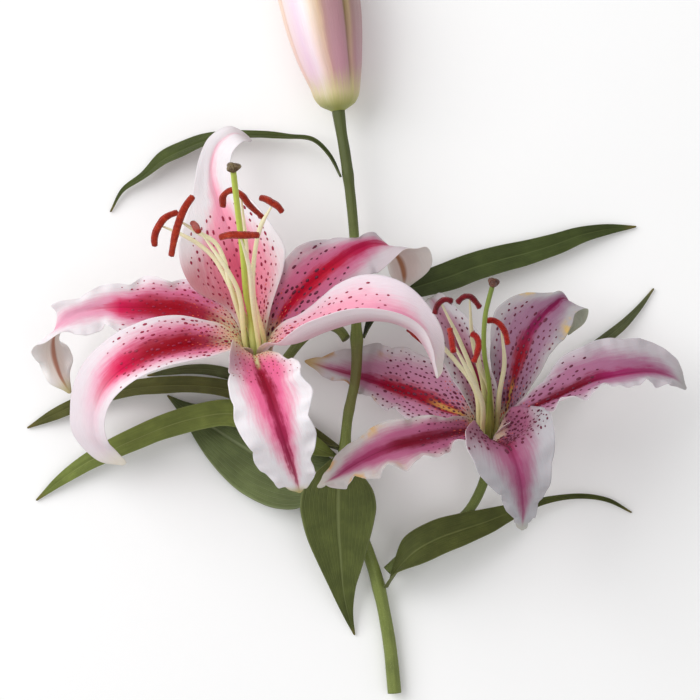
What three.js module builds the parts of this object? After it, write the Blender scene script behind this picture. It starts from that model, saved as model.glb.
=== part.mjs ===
// A cut stargazer lily: one stem with two open blooms, a closed bud and nine leaves, lying on its back.
// Millimetres. +Y runs up the stem towards the bud, +X to its right and +Z up from the surface it lies on.
import * as THREE from "three";

// ---------- driving dimensions ----------
const GAP = 0.3; // between parts that touch
const CUT_RADIUS = 3.15; // the stem at its cut end
const PEDICEL_RADIUS = 2.2;
const RECEPTACLE_RADIUS = 6.9;
const RECEPTACLE_HEIGHT = 5;
const BUD_RADIUS = 17.8;
const INNER_CLAW = 4.7; // distance of a petal's foot from the bloom's axis
const OUTER_CLAW = 6.3; // and of a sepal's
const THROAT_HEIGHT = 12; // where petals and sepals leave the tube that their feet make
const INNER_THROAT = 7.8;
const OUTER_THROAT = 10.4;
const TEPAL_THICKNESS = 1.1;
const LEAF_THICKNESS = 0.9;
const FILAMENT_RADIUS = 0.95;
const STAMEN_FOOT = 3.05; // distance of a filament's foot from the bloom's axis
const OVARY_RADIUS = 2.1;

const TEPAL_RINGS = 14;
const TEPAL_SIDES = 16;
const LEAF_RINGS = 12;
const LEAF_SIDES = 12;

// ---------- small helpers ----------
const vec = (p) => new THREE.Vector3(p[0], p[1], p[2]);
const radians = THREE.MathUtils.degToRad;

function material(colour, roughness) {
  return new THREE.MeshStandardMaterial({ color: colour, roughness, metalness: 0 });
}

// Values given at stations 0, 1, 2 ... read at a fraction of the way along them all.
function along(values, t) {
  const f = t * (values.length - 1);
  const i = Math.min(Math.floor(f), values.length - 2);
  const at = (k) => values[Math.max(0, Math.min(values.length - 1, k))];
  const p = f - i;
  const [a, b, c, d] = [at(i - 1), at(i), at(i + 1), at(i + 2)];
  const smooth = b + 0.5 * p * (c - a + p * (2 * a - 5 * b + 4 * c - d + p * (3 * (b - c) + d - a)));
  const slack = 0.3 * Math.abs(b - c);
  return Math.max(Math.min(b, c) - slack, Math.min(Math.max(b, c) + slack, smooth));
}

function alongVector(values, t) {
  return new THREE.Vector3(...[0, 1, 2].map((k) => along(values.map((v) => v[k]), t)));
}

// A closed skin over rings of equal vertex count, each end closed by a fan round a middle vertex.
function skin(rings) {
  const sides = rings[0].length;
  const points = rings.flat();
  const index = [];
  for (let r = 0; r + 1 < rings.length; r += 1) {
    for (let j = 0; j < sides; j += 1) {
      const k = (j + 1) % sides;
      const [a, b, c, d] = [r * sides + j, r * sides + k, (r + 1) * sides + k, (r + 1) * sides + j];
      index.push(a, b, c, a, c, d);
    }
  }
  for (const [r, flip] of [[0, true], [rings.length - 1, false]]) {
    const middle = new THREE.Vector3();
    rings[r].forEach((p) => middle.addScaledVector(p, 1 / sides));
    points.push(middle);
    for (let j = 0; j < sides; j += 1) {
      const [a, b] = [r * sides + j, r * sides + ((j + 1) % sides)];
      index.push(...(flip ? [b, a, points.length - 1] : [a, b, points.length - 1]));
    }
  }
  const geometry = new THREE.BufferGeometry();
  const positions = points.flatMap((p) => p.toArray());
  geometry.setAttribute("position", new THREE.Float32BufferAttribute(positions, 3));
  geometry.setIndex(index);
  return geometry;
}

// The route's points at even steps of length, with the station fraction and the tangent at each.
function walk(route, count) {
  const curve = new THREE.CatmullRomCurve3(route.map(vec), false, "centripetal");
  curve.arcLengthDivisions = 400;
  return Array.from({ length: count }, (_, i) => {
    const t = curve.getUtoTmapping(i / (count - 1));
    return { t, s: i / (count - 1), at: curve.getPoint(t), tangent: curve.getTangent(t).normalize() };
  });
}

// Lifts a ring that dips under the surface until its lowest vertex lies on it.
function onSurface(ring) {
  const low = Math.min(...ring.map((p) => p.z));
  if (low < 0) ring.forEach((p) => (p.z -= low));
  return ring;
}

// A round stalk along a route; radii are given at the route's own stations.
function stalk({ route, radii, rings, sides, shape = () => 1, end = null }) {
  let side = null;
  const made = walk(route, rings).map(({ t, s, at, tangent }) => {
    if (!side) side = Math.abs(tangent.x) < 0.8 ? new THREE.Vector3(1, 0, 0) : new THREE.Vector3(0, 1, 0);
    const direction = end && s === 1 ? end : tangent;
    side = side.clone().addScaledVector(direction, -side.dot(direction)).normalize();
    const other = direction.clone().cross(side);
    return Array.from({ length: sides }, (_, j) => {
      const angle = (2 * Math.PI * j) / sides;
      const r = along(radii, t) * shape(angle, s);
      const point = at.clone().addScaledVector(side, r * Math.cos(angle));
      return point.addScaledVector(other, r * Math.sin(angle));
    });
  });
  return skin(made.map(onSurface));
}

// A thin blade (a petal, a sepal or a leaf). At each station of its route: the widths of its two wings,
// the way its upper face looks and how far, in degrees, its wings lift towards that face.
function blade({ route, left, right, face, lift, thickness, rings, sides }) {
  const half = sides / 2;
  const made = walk(route, rings).map(({ t, at, tangent }) => {
    const up = alongVector(face, t);
    up.addScaledVector(tangent, -up.dot(tangent)).normalize();
    const side = tangent.clone().cross(up);
    const bend = radians(along(lift, t));
    const point = (u, offset) => {
      const width = along(u < 0 ? left : right, t);
      const steps = 8;
      let [x, z, angle] = [0, 0, 0];
      for (let k = 0; k < steps; k += 1) {
        angle = bend * (0.4 + (1.2 * Math.abs(u) * (k + 0.5)) / steps);
        x += (Math.cos(angle) * width * Math.abs(u)) / steps;
        z += (Math.sin(angle) * width * Math.abs(u)) / steps;
      }
      if (u === 0) angle = 0;
      x -= Math.sin(angle) * offset;
      z += Math.cos(angle) * offset;
      return at.clone().addScaledVector(side, Math.sign(u) * x).addScaledVector(up, z);
    };
    return Array.from({ length: sides }, (_, j) => {
      const upper = j <= half;
      const u = upper ? -1 + (2 * j) / half : 1 - (2 * (j - half)) / half;
      const margin = j === 0 || j === half;
      const depth = margin ? 0 : (thickness / 2) * (1 - 0.55 * u * u);
      return point(u, upper ? depth : -depth);
    });
  });
  return skin(made.map((ring) => onSurface(ring)));
}

// ---------- the group ----------
const lily = new THREE.Group();
lily.name = "cut_lily";

function add(name, geometry, look) {
  const mesh = new THREE.Mesh(geometry, look);
  mesh.name = name;
  lily.add(mesh);
  return mesh;
}

const GREEN = () => material(0x5f7f38, 0.5);
const LEAF = () => material(0x4a6229, 0.45);
const PALE_GREEN = () => material(0xc3c870, 0.45);
const PINK = () => material(0xe58aae, 0.5);
const BLUSH = () => material(0xe9cdd8, 0.5);
const RUST = () => material(0xa8361c, 0.8);

// ---------- stem ----------
const STEM = [
  [20, -154, 3.1], [18.5, -138, 3.4], [16.5, -124, 4.2], [11.5, -101, 6], [5, -82, 8.5], [-1, -62, 11.5],
  [-2.2, -46, 13.6], [-1, -30, 15.6], [2.5, -12, 17.6], [3, 2, 18.6], [2.5, 20, 18.8], [2.2, 45, 18.8],
  [0.5, 66, 18.6], [-2, 86, 18.2], [-4, 98, 17.6], [-5, 105, 17.2],
];
const STEM_RADII = [
  CUT_RADIUS, 3, 2.85, 2.9, 2.6, 2.45, 2.35, 2.25, 2.3, 2.5, 2.1, 2.2, 2.3, 2.45, 2.5, 2.9,
];
add("stem", stalk({ route: STEM, radii: STEM_RADII, rings: 34, sides: 12 }), GREEN());

// ---------- bud ----------
// Three outer sepals close round it, so that it is three-sided with rounded corners and three seams.
function budShape(angle, s) {
  const closed = Math.sin(Math.PI * Math.min(1, s * 1.1));
  return 1 + closed * (0.035 * Math.cos(3 * (angle - 0.4)) + 0.02 * Math.cos(6 * (angle - 0.4)));
}
const BUD_ROUTE = [
  [-5.1, 105.7, 17.2], [-5.6, 110, 17.3], [-6.8, 119, 17.6], [-10, 134, 17.9], [-13, 150, 18],
  [-17, 172, 18], [-20.5, 190, 17.6], [-23.5, 203, 17.2], [-25, 209.5, 17],
];
const BUD_RADII = [4.6, 8, 11.4, 15, 17.3, BUD_RADIUS, 13.6, 7.6, 1.6];
const bud = add(
  "bud",
  stalk({ route: BUD_ROUTE, radii: BUD_RADII, rings: 18, sides: 18, shape: budShape }),
  BLUSH(),
);
bud.geometry.computeBoundingBox();
bud.position.z = -bud.geometry.boundingBox.min.z;

// ---------- blooms ----------
// A bloom's own frame: its foot, its axis and the directions round it. 0 degrees is to the right of the
// axis, 90 degrees towards the front and 270 degrees towards the back. "own" holds the radii of its
// anthers, style and stigma.
function bloom(foot, axis, own) {
  const along = vec(axis).normalize();
  const right = new THREE.Vector3(1, 0, 0).addScaledVector(along, -along.x).normalize();
  const front = right.clone().cross(along);
  const out = (degrees) => {
    const sideways = right.clone().multiplyScalar(Math.cos(radians(degrees)));
    return sideways.addScaledVector(front, Math.sin(radians(degrees)));
  };
  const at = (degrees, radius, height) =>
    vec(foot).addScaledVector(out(degrees), radius).addScaledVector(along, height);
  return { ...own, foot: vec(foot), along, out, at };
}

const BLOOM_A = bloom([-41, -5, 30], [-0.09, 0.79, 0.6], { anther: 1.4, style: 1.3, stigma: 3 });
const BLOOM_B = bloom([61, -40, 26], [0, 0.63, 0.78], { anther: 1.1, style: 1.05, stigma: 2.3 });

// A petal (inner) or sepal (outer): its foot and throat come from the bloom, the rest of its route
// is its own.
function tepal(name, flower, degrees, inner, own) {
  const inward = flower.out(degrees).negate().toArray();
  const foot = flower.at(degrees, inner ? INNER_CLAW : OUTER_CLAW, GAP + 0.35).toArray();
  const throat = flower.at(degrees, inner ? INNER_THROAT : OUTER_THROAT, THROAT_HEIGHT).toArray();
  const wide = inner ? [3.1, 6.6] : [3.9, 6.6];
  add(
    name,
    blade({
      route: [foot, throat, ...own.route],
      left: [...wide, ...own.left],
      right: [...wide, ...own.right],
      face: [inward, inward, ...own.face],
      lift: [...(inner ? [22, 32] : [20, 26]), ...own.lift],
      thickness: TEPAL_THICKNESS,
      rings: TEPAL_RINGS,
      sides: TEPAL_SIDES,
    }),
    PINK(),
  );
}

tepal("bloom_a_petal_back", BLOOM_A, 270, true, {
  route: [
    [-45, 25, 35], [-49, 38, 38.5], [-53, 52, 40], [-58, 66, 38], [-61, 79, 34.5], [-58, 91, 29],
    [-50, 96, 23.5], [-44, 93, 20],
  ],
  left: [12.6, 21, 21, 13, 7, 5, 4, 0.8],
  right: [14, 21, 18, 11.5, 9, 7, 5, 0.8],
  face: [
    [0, -0.3, 1], [0, 0, 1], [0.05, 0.05, 1], [0.1, 0.2, 1], [0.1, 0.4, 0.9], [0.2, 0.7, 0.7],
    [0.6, 0.7, 0.4], [0.8, 0.4, 0.2],
  ],
  lift: [22, 14, 10, 10, 14, 16, 16, 16],
});
tepal("bloom_a_petal_right", BLOOM_A, 30, true, {
  route: [
    [-23, 4, 51], [-10, 9, 61], [4, 13, 67], [17, 13, 69], [28, 8, 67], [35, -2, 62], [38, -12, 56],
  ],
  left: [14, 20, 23, 21, 16, 9, 0.6],
  right: [12, 16, 17, 14, 10, 6, 0.6],
  face: [
    [-0.4, 0.8, 0.4], [-0.15, 0.9, 0.4], [0, 0.92, 0.38], [0.2, 0.9, 0.38], [0.6, 0.75, 0.35],
    [0.8, 0.35, 0.5], [0.65, 0.15, 0.75],
  ],
  lift: [32, 36, 38, 38, 36, 34, 30],
});
tepal("bloom_a_petal_left", BLOOM_A, 150, true, {
  route: [
    [-62, 3, 50], [-77, 1.5, 56], [-92, -4, 56], [-105.5, -14, 49.5], [-112, -28, 40],
    [-110.5, -42, 30], [-100, -50.5, 22],
  ],
  left: [9, 10, 10, 9, 8, 7.5, 1.4],
  right: [10, 14, 15.5, 15.5, 14, 10.5, 1.4],
  face: [
    [0.3, 0.5, 0.8], [-0.1, 0.35, 0.93], [-0.4, 0.3, 0.87], [-0.6, 0.15, 0.75], [-0.7, -0.2, 0.65],
    [-0.5, -0.45, 0.75], [-0.2, -0.5, 0.85],
  ],
  lift: [24, 16, 12, 10, 8, 8, 6],
});
tepal("bloom_a_sepal_back_right", BLOOM_A, 330, false, {
  route: [
    [-26, 20, 37], [-15, 31, 43], [-2, 41, 45], [7, 46, 43.5], [14.5, 46.5, 40], [21, 42, 35],
    [24, 34, 29.5], [24, 27, 25.5],
  ],
  left: [11, 13, 11.5, 9.5, 12.5, 13.5, 10, 0.8],
  right: [11, 14, 14, 13, 13.5, 14, 11, 0.8],
  face: [
    [-0.2, 0.1, 1], [0, 0.1, 1], [0.05, 0.15, 1], [0.2, 0.2, 0.95], [0.85, 0.45, -0.05],
    [0.55, 0.3, -0.75], [0.3, 0.2, -0.9], [0.3, 0.2, -0.9],
  ],
  lift: [20, 12, 10, 10, 12, 16, 16, 10],
});
tepal("bloom_a_sepal_front", BLOOM_A, 90, false, {
  route: [
    [-39, -9.5, 61.5], [-34.5, -19, 76], [-30, -33, 80], [-26, -46, 72], [-23, -57, 58], [-22, -62, 45],
  ],
  left: [15, 17.5, 14.5, 11, 6.5, 0.8],
  right: [12.2, 18, 16, 14, 8.5, 0.8],
  face: [
    [0, 0.9, 0.45], [0, 0.62, 0.78], [0.05, -0.1, 1], [0.1, -0.6, 0.78], [0.1, -0.8, 0.6],
    [0.1, -0.9, 0.3],
  ],
  lift: [18, 10, 4, 4, 6, 6],
});
tepal("bloom_a_sepal_back_left", BLOOM_A, 210, false, {
  route: [
    [-60, 13, 36], [-74, 18, 40], [-90, 18.5, 41], [-107, 18.5, 40], [-121, 15.5, 38], [-130.5, 8, 32.5],
    [-131, -5, 25], [-124.5, -19, 19.5],
  ],
  left: [11, 13, 12, 10, 9, 10.5, 8.5, 0.8],
  right: [11, 13, 13, 12, 9.5, 10.5, 9, 0.8],
  face: [
    [0.3, 0.2, 0.93], [0.05, 0.2, 0.97], [-0.1, 0.2, 0.97], [-0.25, 0.1, 0.95], [-0.6, -0.2, 0.75],
    [-0.9, -0.05, -0.35], [-0.5, 0.25, -0.85], [-0.2, 0.4, -0.9],
  ],
  lift: [22, 14, 10, 10, 10, 12, 14, 10],
});

tepal("bloom_b_petal_right", BLOOM_B, 20, true, {
  route: [
    [77, -26.5, 50], [91, -20, 53], [105.5, -13.5, 52], [119.5, -10.5, 47], [132.5, -9.5, 38],
    [142.5, -12, 28.5], [149, -17, 21],
  ],
  left: [5.5, 11.5, 17, 17, 13.5, 9, 0.8],
  right: [5.5, 7.5, 8, 7.5, 6.5, 4.5, 0.8],
  face: [
    [-0.3, 0.65, 0.7], [-0.1, 0.66, 0.74], [0.1, 0.66, 0.74], [0.2, 0.58, 0.78], [0.35, 0.42, 0.84],
    [0.55, 0.3, 0.75], [0.7, 0.3, 0.6],
  ],
  lift: [28, 24, 22, 18, 14, 12, 10],
});
tepal("bloom_b_petal_front_left", BLOOM_B, 140, true, {
  route: [[44, -36.8, 51.5], [31, -39, 58], [18, -42, 60], [5, -48, 56], [-6, -55, 48], [-14, -60, 39]],
  left: [8, 11.5, 11, 8.5, 4.8, 0.6],
  right: [8, 10.5, 11, 9.5, 6, 0.6],
  face: [
    [0.3, 0.6, 0.75], [0, 0.45, 0.9], [-0.1, 0.35, 0.93], [-0.25, 0.25, 0.93], [-0.4, 0.1, 0.9],
    [-0.5, 0, 0.85],
  ],
  lift: [26, 18, 14, 10, 8, 6],
});
tepal("bloom_b_petal_back", BLOOM_B, 260, true, {
  route: [[55, -10, 39.5], [48.5, 2, 42], [43, 11.5, 38.5], [39, 18, 31], [36.5, 22, 23], [35, 22.5, 16]],
  left: [10, 11, 10, 7, 4.5, 0.6],
  right: [9, 9.5, 8.5, 6.5, 4.5, 0.6],
  face: [
    [-0.1, -0.3, 1], [0, 0, 1], [-0.1, 0.3, 0.95], [-0.3, 0.6, 0.7], [-0.4, 0.7, 0.4],
    [-0.5, 0.8, 0.1],
  ],
  lift: [22, 14, 10, 8, 8, 8],
});
tepal("bloom_b_sepal_front", BLOOM_B, 80, false, {
  route: [
    [65, -42, 60], [67.5, -41.5, 77], [71, -49, 85], [73.5, -61, 79], [74.5, -71, 66], [75, -78, 51],
  ],
  left: [18, 23, 17.5, 10, 5, 0.8],
  right: [9, 22, 16, 9.5, 5, 0.8],
  face: [
    [0, 0.99, 0.1], [0, 0.75, 0.65], [0, 0.1, 1], [0.05, -0.55, 0.83], [0, -0.75, 0.65],
    [0, -0.9, 0.4],
  ],
  lift: [42, 32, 14, 6, 6, 6],
});
tepal("bloom_b_sepal_left", BLOOM_B, 200, false, {
  route: [
    [44, -26.5, 34.5], [31, -21, 32], [18, -16.5, 20.5], [6, -12.5, 10.5], [-5, -9.5, 7.5],
    [-13, -7, 7], [-20, -5, 6.5],
  ],
  left: [11, 11, 9.5, 6.5, 4.5, 3.8, 0.6],
  right: [13, 18.5, 18.5, 15.5, 10, 5, 0.6],
  face: [
    [0.3, 0.2, 0.93], [-0.2, 0.3, 0.93], [-0.6, 0.25, 0.75], [-0.4, 0.25, 0.9], [-0.1, 0.2, 0.97],
    [0, 0.2, 0.97], [0, 0.2, 0.97],
  ],
  lift: [22, 16, 14, 14, 12, 10, 8],
});
tepal("bloom_b_sepal_back_right", BLOOM_B, 320, false, {
  route: [
    [72, -13, 37], [76.5, 2, 39], [82, 12, 38.5], [89, 19, 36], [95, 23, 31],
    [98.5, 17.5, 25], [97, 7, 21],
  ],
  left: [10, 15, 16, 10, 7, 8.5, 0.6],
  right: [10.5, 14, 14, 12, 9.5, 9, 0.6],
  face: [
    [-0.45, -0.1, 0.9], [-0.25, 0.1, 0.96], [0, 0.2, 1], [0.4, 0.4, 0.85], [0.85, 0.5, 0.1],
    [0.65, 0.05, -0.75], [0.6, -0.1, -0.8],
  ],
  lift: [22, 14, 12, 12, 12, 14, 10],
});

// A stamen: the filament's foot comes from the bloom; the anther swings on the filament's tip.
function stamen(name, flower, degrees, path, anther) {
  const foot = flower.at(degrees, STAMEN_FOOT, GAP + 0.3).toArray();
  const rise = flower.at(degrees, STAMEN_FOOT + 1.2, 11).toArray();
  const body = walk(anther, 3)[1];
  const back = vec(path[path.length - 1]).sub(body.at).normalize();
  const lean = Math.max(0.5, Math.sqrt(1 - back.dot(body.tangent) ** 2));
  const stop = body.at.clone().addScaledVector(back, (flower.anther * 1.12 + GAP + 0.3) / lean);
  add(
    `${name}_filament`,
    stalk({
      route: [foot, rise, ...path.slice(0, -1), stop.toArray()],
      radii: [0.65, 0.8, ...path.slice(0, -1).map(() => FILAMENT_RADIUS), 0.4],
      rings: 10,
      sides: 6,
    }),
    PALE_GREEN(),
  );
  const lobes = (angle) => 1 + 0.12 * Math.cos(2 * angle);
  add(
    `${name}_anther`,
    stalk({
      route: anther,
      radii: [0.7, flower.anther, flower.anther, flower.anther, 0.7],
      rings: 7,
      sides: 8,
      shape: lobes,
    }),
    RUST(),
  );
}

stamen("bloom_a_stamen_1", BLOOM_A, 215, [[-52, 28, 56], [-57, 45, 62], [-66, 51, 66], [-72, 56, 69]],
  [[-67.5, 66, 72], [-71, 61, 72.5], [-73.5, 55, 72], [-75.5, 48, 70.5], [-77, 40.5, 68]]);
stamen("bloom_a_stamen_2", BLOOM_A, 255, [[-52, 27, 49], [-60, 41, 53], [-69, 48, 56.5], [-76.5, 51, 57.5]],
  [[-74.5, 59.5, 62], [-79.5, 57.5, 62.5], [-83, 53, 62.5], [-84.5, 49, 62], [-84.5, 45, 61]]);
stamen("bloom_a_stamen_3", BLOOM_A, 175, [[-48.3, 25, 58], [-54.5, 37, 69], [-60.5, 46.5, 76]],
  [[-64.6, 50.5, 82], [-65.4, 51.6, 78.8], [-66, 52.5, 75], [-66.6, 53.6, 71.2], [-67.8, 54.8, 67.8]]);
stamen("bloom_a_stamen_4", BLOOM_A, 310, [[-44.5, 25, 49], [-45, 45, 57], [-47, 60, 67]],
  [[-54.6, 61.5, 73], [-53.6, 67.5, 76], [-48.5, 68, 77], [-43, 62, 75], [-37, 56.5, 71]]);
stamen("bloom_a_stamen_5", BLOOM_A, 0, [[-42, 24, 54], [-40.5, 45, 68], [-37, 56, 76], [-34, 60, 79]],
  [[-38.5, 65, 79], [-36, 64.5, 80], [-33.5, 63, 80.5], [-31, 61.5, 80], [-29, 59, 79]]);
stamen("bloom_a_stamen_6", BLOOM_A, 60, [[-42, 20, 60], [-43, 35, 80], [-45, 45, 93]],
  [[-55, 47.5, 97], [-51, 48.5, 98.5], [-46.5, 48.5, 99], [-42.5, 48.5, 98.5], [-38.5, 48.5, 97]]);

stamen("bloom_b_stamen_1", BLOOM_B, 170, [[55, -16, 55], [47, 4, 73], [41, 16, 88]],
  [[36, 15.5, 90], [36.8, 18.5, 91], [38.5, 20.5, 91.5], [40.8, 21.5, 91.5], [43.3, 20.5, 91]]);
stamen("bloom_b_stamen_2", BLOOM_B, 250, [[58, -15, 51], [53, 3, 68], [50.5, 17, 88]],
  [[45.5, 20, 92], [47.8, 22.3, 92.5], [50.3, 22.8, 92.5], [52.8, 21, 92], [55, 18, 91]]);
stamen("bloom_b_stamen_3", BLOOM_B, 330, [[65, -18, 55], [66.5, -6, 67], [63, 4, 77]],
  [[58.5, 12.5, 84], [61.5, 12.5, 85], [64.2, 10.5, 85.5], [66.2, 7, 85], [67.2, 2.5, 84]]);
stamen("bloom_b_stamen_4", BLOOM_B, 290, [[60.5, -16.5, 51], [56.5, -8, 65], [54, -1, 84]],
  [[51.5, 7, 90], [53.3, 5.8, 90.5], [54.5, 3, 90.5], [54, -1, 90], [52.5, -5, 89]]);
stamen("bloom_b_stamen_5", BLOOM_B, 205, [[54, -16, 49], [46, -5, 50], [38.5, 3, 48], [33.5, 7.5, 46.5]],
  [[25.5, 9, 47.5], [27.5, 7.2, 49.5], [29.5, 5.5, 50.5], [31.5, 3.8, 50.5], [33.5, 2, 49.5]]);
stamen("bloom_b_stamen_6", BLOOM_B, 130, [[57, -22, 60], [50, -8, 76], [44.5, 1, 84]],
  [[42.5, 9, 83], [43, 6.5, 85], [43.3, 4, 86.5], [43.6, 1.5, 87.5], [44, -1, 88]]);

// The pistil: ovary and style in one, and the three-lobed stigma on its tip.
function pistil(name, flower, path, colour) {
  const base = [0.4, 3, 8, 18, 24].map((h) => flower.at(0, 0, h).toArray());
  const styles = path.map(() => flower.style);
  add(
    `${name}_pistil`,
    stalk({
      route: [...base, ...path],
      radii: [1.45, 1.75, OVARY_RADIUS, OVARY_RADIUS, 1.35, ...styles],
      rings: 15,
      sides: 8,
    }),
    material(colour, 0.4),
  );
  const tip = vec(path[path.length - 1]);
  const way = tip.clone().sub(vec(path[path.length - 2])).normalize();
  const lobed = (angle, s) => 1 + 0.13 * Math.min(1, 2 * s) * Math.cos(3 * angle);
  add(
    `${name}_stigma`,
    stalk({
      route: [0.35, 1.1, 2.1, 3.1, 3.8].map((h) => tip.clone().addScaledVector(way, h).toArray()),
      radii: [0.5, 0.8, 1, 0.9, 0.5].map((share) => share * flower.stigma),
      rings: 6,
      sides: 12,
      shape: lobed,
    }),
    material(0x6f5a34, 0.7),
  );
}

pistil("bloom_a", BLOOM_A, [[-45, 23, 55], [-46, 40, 70], [-48, 60, 82], [-49.5, 75.5, 91]], 0xb9c85a);
pistil("bloom_b", BLOOM_B, [[60.5, -16, 58], [57.5, 0, 75], [57.5, 15, 90], [60, 26.8, 100.5]], 0x7f9440);

// ---------- flower stalks ----------
// Each leaves the stem and ends in the receptacle that carries its bloom.
function flowerStalk(name, flower, route) {
  const below = (h) => flower.at(0, 0, -h).toArray();
  const flare = [RECEPTACLE_RADIUS * 0.45, RECEPTACLE_RADIUS * 0.85, RECEPTACLE_RADIUS];
  add(
    name,
    stalk({
      route: [...route, below(RECEPTACLE_HEIGHT + 1), below(RECEPTACLE_HEIGHT / 2), below(0)],
      radii: [...route.map(() => PEDICEL_RADIUS), ...flare],
      rings: 22,
      sides: 10,
      end: flower.along,
    }),
    GREEN(),
  );
}

flowerStalk("bloom_a_stalk", BLOOM_A, [
  [-1.8, 5, 16.8], [-5, 9.2, 14.8], [-11, 11, 11.5], [-20, 6, 8], [-30, -6, 9], [-36.5, -15, 15],
  [-39.5, -15, 21],
]);
flowerStalk("bloom_b_stalk", BLOOM_B, [
  [16.6, -99, 6.4], [22, -94, 5.8], [32, -86.5, 5.6], [44, -80, 6], [53, -72, 8], [58.5, -62, 11.5],
  [61, -52.5, 15.5],
]);

// ---------- leaves ----------
function leaf(name, own) {
  add(name, blade({ ...own, thickness: LEAF_THICKNESS, rings: LEAF_RINGS, sides: LEAF_SIDES }), LEAF());
}

leaf("leaf_top_left", {
  route: [
    [-4.2, 77, 18.4], [-7.2, 82.2, 17.5], [-11, 89.5, 15], [-17, 94, 11.5], [-28, 95.4, 8.5],
    [-44, 96, 7], [-60, 94.8, 6.3], [-74, 90, 5.6], [-85.5, 84, 4.8], [-94.5, 76.5, 3.8],
    [-103, 71, 2.2], [-107.7, 62.3, 0.3],
  ],
  left: [1.5, 1.4, 1.4, 1.7, 2.4, 3.4, 4.9, 5.8, 4.8, 2.2, 1.3, 0.4],
  right: [1.5, 1.4, 1.4, 1.7, 2.4, 3.4, 4.9, 5.8, 4.8, 2.2, 1.3, 0.4],
  face: [
    [0.8, 0.6, 0], [0.6, 0.7, 0.3], [0.4, 0.8, 0.5], [0.1, 0.85, 0.5], [0, 0.85, 0.5],
    [-0.1, 0.85, 0.5], [-0.15, 0.8, 0.55], [-0.3, 0.75, 0.6], [-0.4, 0.6, 0.65], [-0.5, 0.5, 0.65],
    [-0.5, 0.4, 0.7], [-0.5, 0.4, 0.7],
  ],
  lift: [20, 20, 18, 16, 14, 12, 12, 12, 12, 12, 10, 8],
});
leaf("leaf_right_upper", {
  route: [
    [6.2, 5.4, 18.4], [8.8, 10.6, 17.2], [14, 20, 14], [24, 27, 10.5], [36, 29.5, 8], [50, 35, 6.5],
    [68, 40.5, 5.5], [86, 45.2, 5], [104, 51.5, 3.5], [118, 54.5, 2], [128.5, 55.5, 0.3],
  ],
  left: [1.8, 2.4, 4, 5.6, 6.8, 7.2, 6.8, 5.6, 4, 2.2, 0.4],
  right: [1.8, 2.4, 4, 5.6, 6.8, 7.2, 6.8, 5.6, 4, 2.2, 0.4],
  face: [
    [-0.7, 0.7, 0], [-0.5, 0.7, 0.4], [-0.3, 0.6, 0.7], [-0.1, 0.5, 0.85], [0, 0.45, 0.88],
    [0, 0.45, 0.88], [0, 0.4, 0.9], [0, 0.35, 0.93], [0, 0.3, 0.95], [0, 0.2, 0.97], [0, 0.1, 1],
  ],
  lift: [20, 18, 14, 12, 10, 10, 10, 10, 10, 8, 6],
});
leaf("leaf_right_bloom", {
  route: [
    [63.4, -57, 12.6], [67.6, -51.5, 10.2], [75, -39, 7], [87, -21, 5], [102, -6, 4], [115, 5, 3],
    [126.5, 15, 2], [136.5, 27.5, 0.3],
  ],
  left: [1.6, 2.2, 3.2, 3.8, 3.4, 2.6, 1.8, 0.4],
  right: [1.6, 2.2, 3.2, 3.8, 3.4, 2.6, 1.8, 0.4],
  face: [
    [-0.6, 0.6, 0.5], [-0.5, 0.5, 0.7], [-0.3, 0.3, 0.9], [-0.2, 0.2, 0.96], [-0.2, 0.2, 0.96],
    [-0.2, 0.2, 0.96], [-0.1, 0.1, 1], [0, 0, 1],
  ],
  lift: [16, 14, 12, 10, 10, 10, 8, 6],
});
leaf("leaf_right_lower", {
  route: [
    [16.6, -106, 8.6], [19, -101, 12.5], [24.5, -94, 16.5], [32.5, -87, 18], [46, -81.5, 16],
    [60, -77, 13], [72, -72.5, 10], [86, -68, 7], [102, -65.5, 4.5], [116, -67.5, 2.5],
    [126.5, -73, 0.3],
  ],
  left: [2, 3.6, 7, 8.6, 8, 6.2, 3.8, 1.9, 1.2, 1, 0.4],
  right: [2, 3.6, 7, 8.6, 8, 6.2, 3.8, 1.9, 1.2, 1, 0.4],
  face: [
    [-0.5, 0.8, -0.1], [-0.5, 0.8, 0.2], [-0.3, 0.6, 0.7], [-0.1, 0.4, 0.9], [0, 0.35, 0.93],
    [0, 0.35, 0.93], [0, 0.35, 0.93], [0, 0.3, 0.95], [0, 0.2, 0.97], [0, 0.1, 1], [0, 0.1, 1],
  ],
  lift: [24, 22, 16, 12, 12, 12, 12, 12, 10, 8, 6],
});
leaf("leaf_front", {
  route: [
    [-2.4, -46, 16.5], [-3.2, -49.5, 20], [-4.6, -57, 23.5], [-5.2, -67, 22.5], [-5, -80, 18.5],
    [-4, -94, 13.5], [-3, -107, 8.5], [-1, -118, 4], [2, -128, 0.3],
  ],
  left: [2, 4.2, 13, 17, 15, 10.5, 5.6, 2.6, 0.4],
  right: [2, 4.2, 13, 17, 15, 10.5, 5.6, 2.6, 0.4],
  face: [
    [0, 1, 0.2], [0, 0.8, 0.6], [0, 0.3, 0.95], [0, -0.1, 1], [0, -0.35, 0.94], [0, -0.35, 0.94],
    [0, -0.35, 0.94], [0, -0.3, 0.95], [0, -0.3, 0.95],
  ],
  lift: [20, 14, 8, 7, 8, 10, 10, 8, 6],
});
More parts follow.
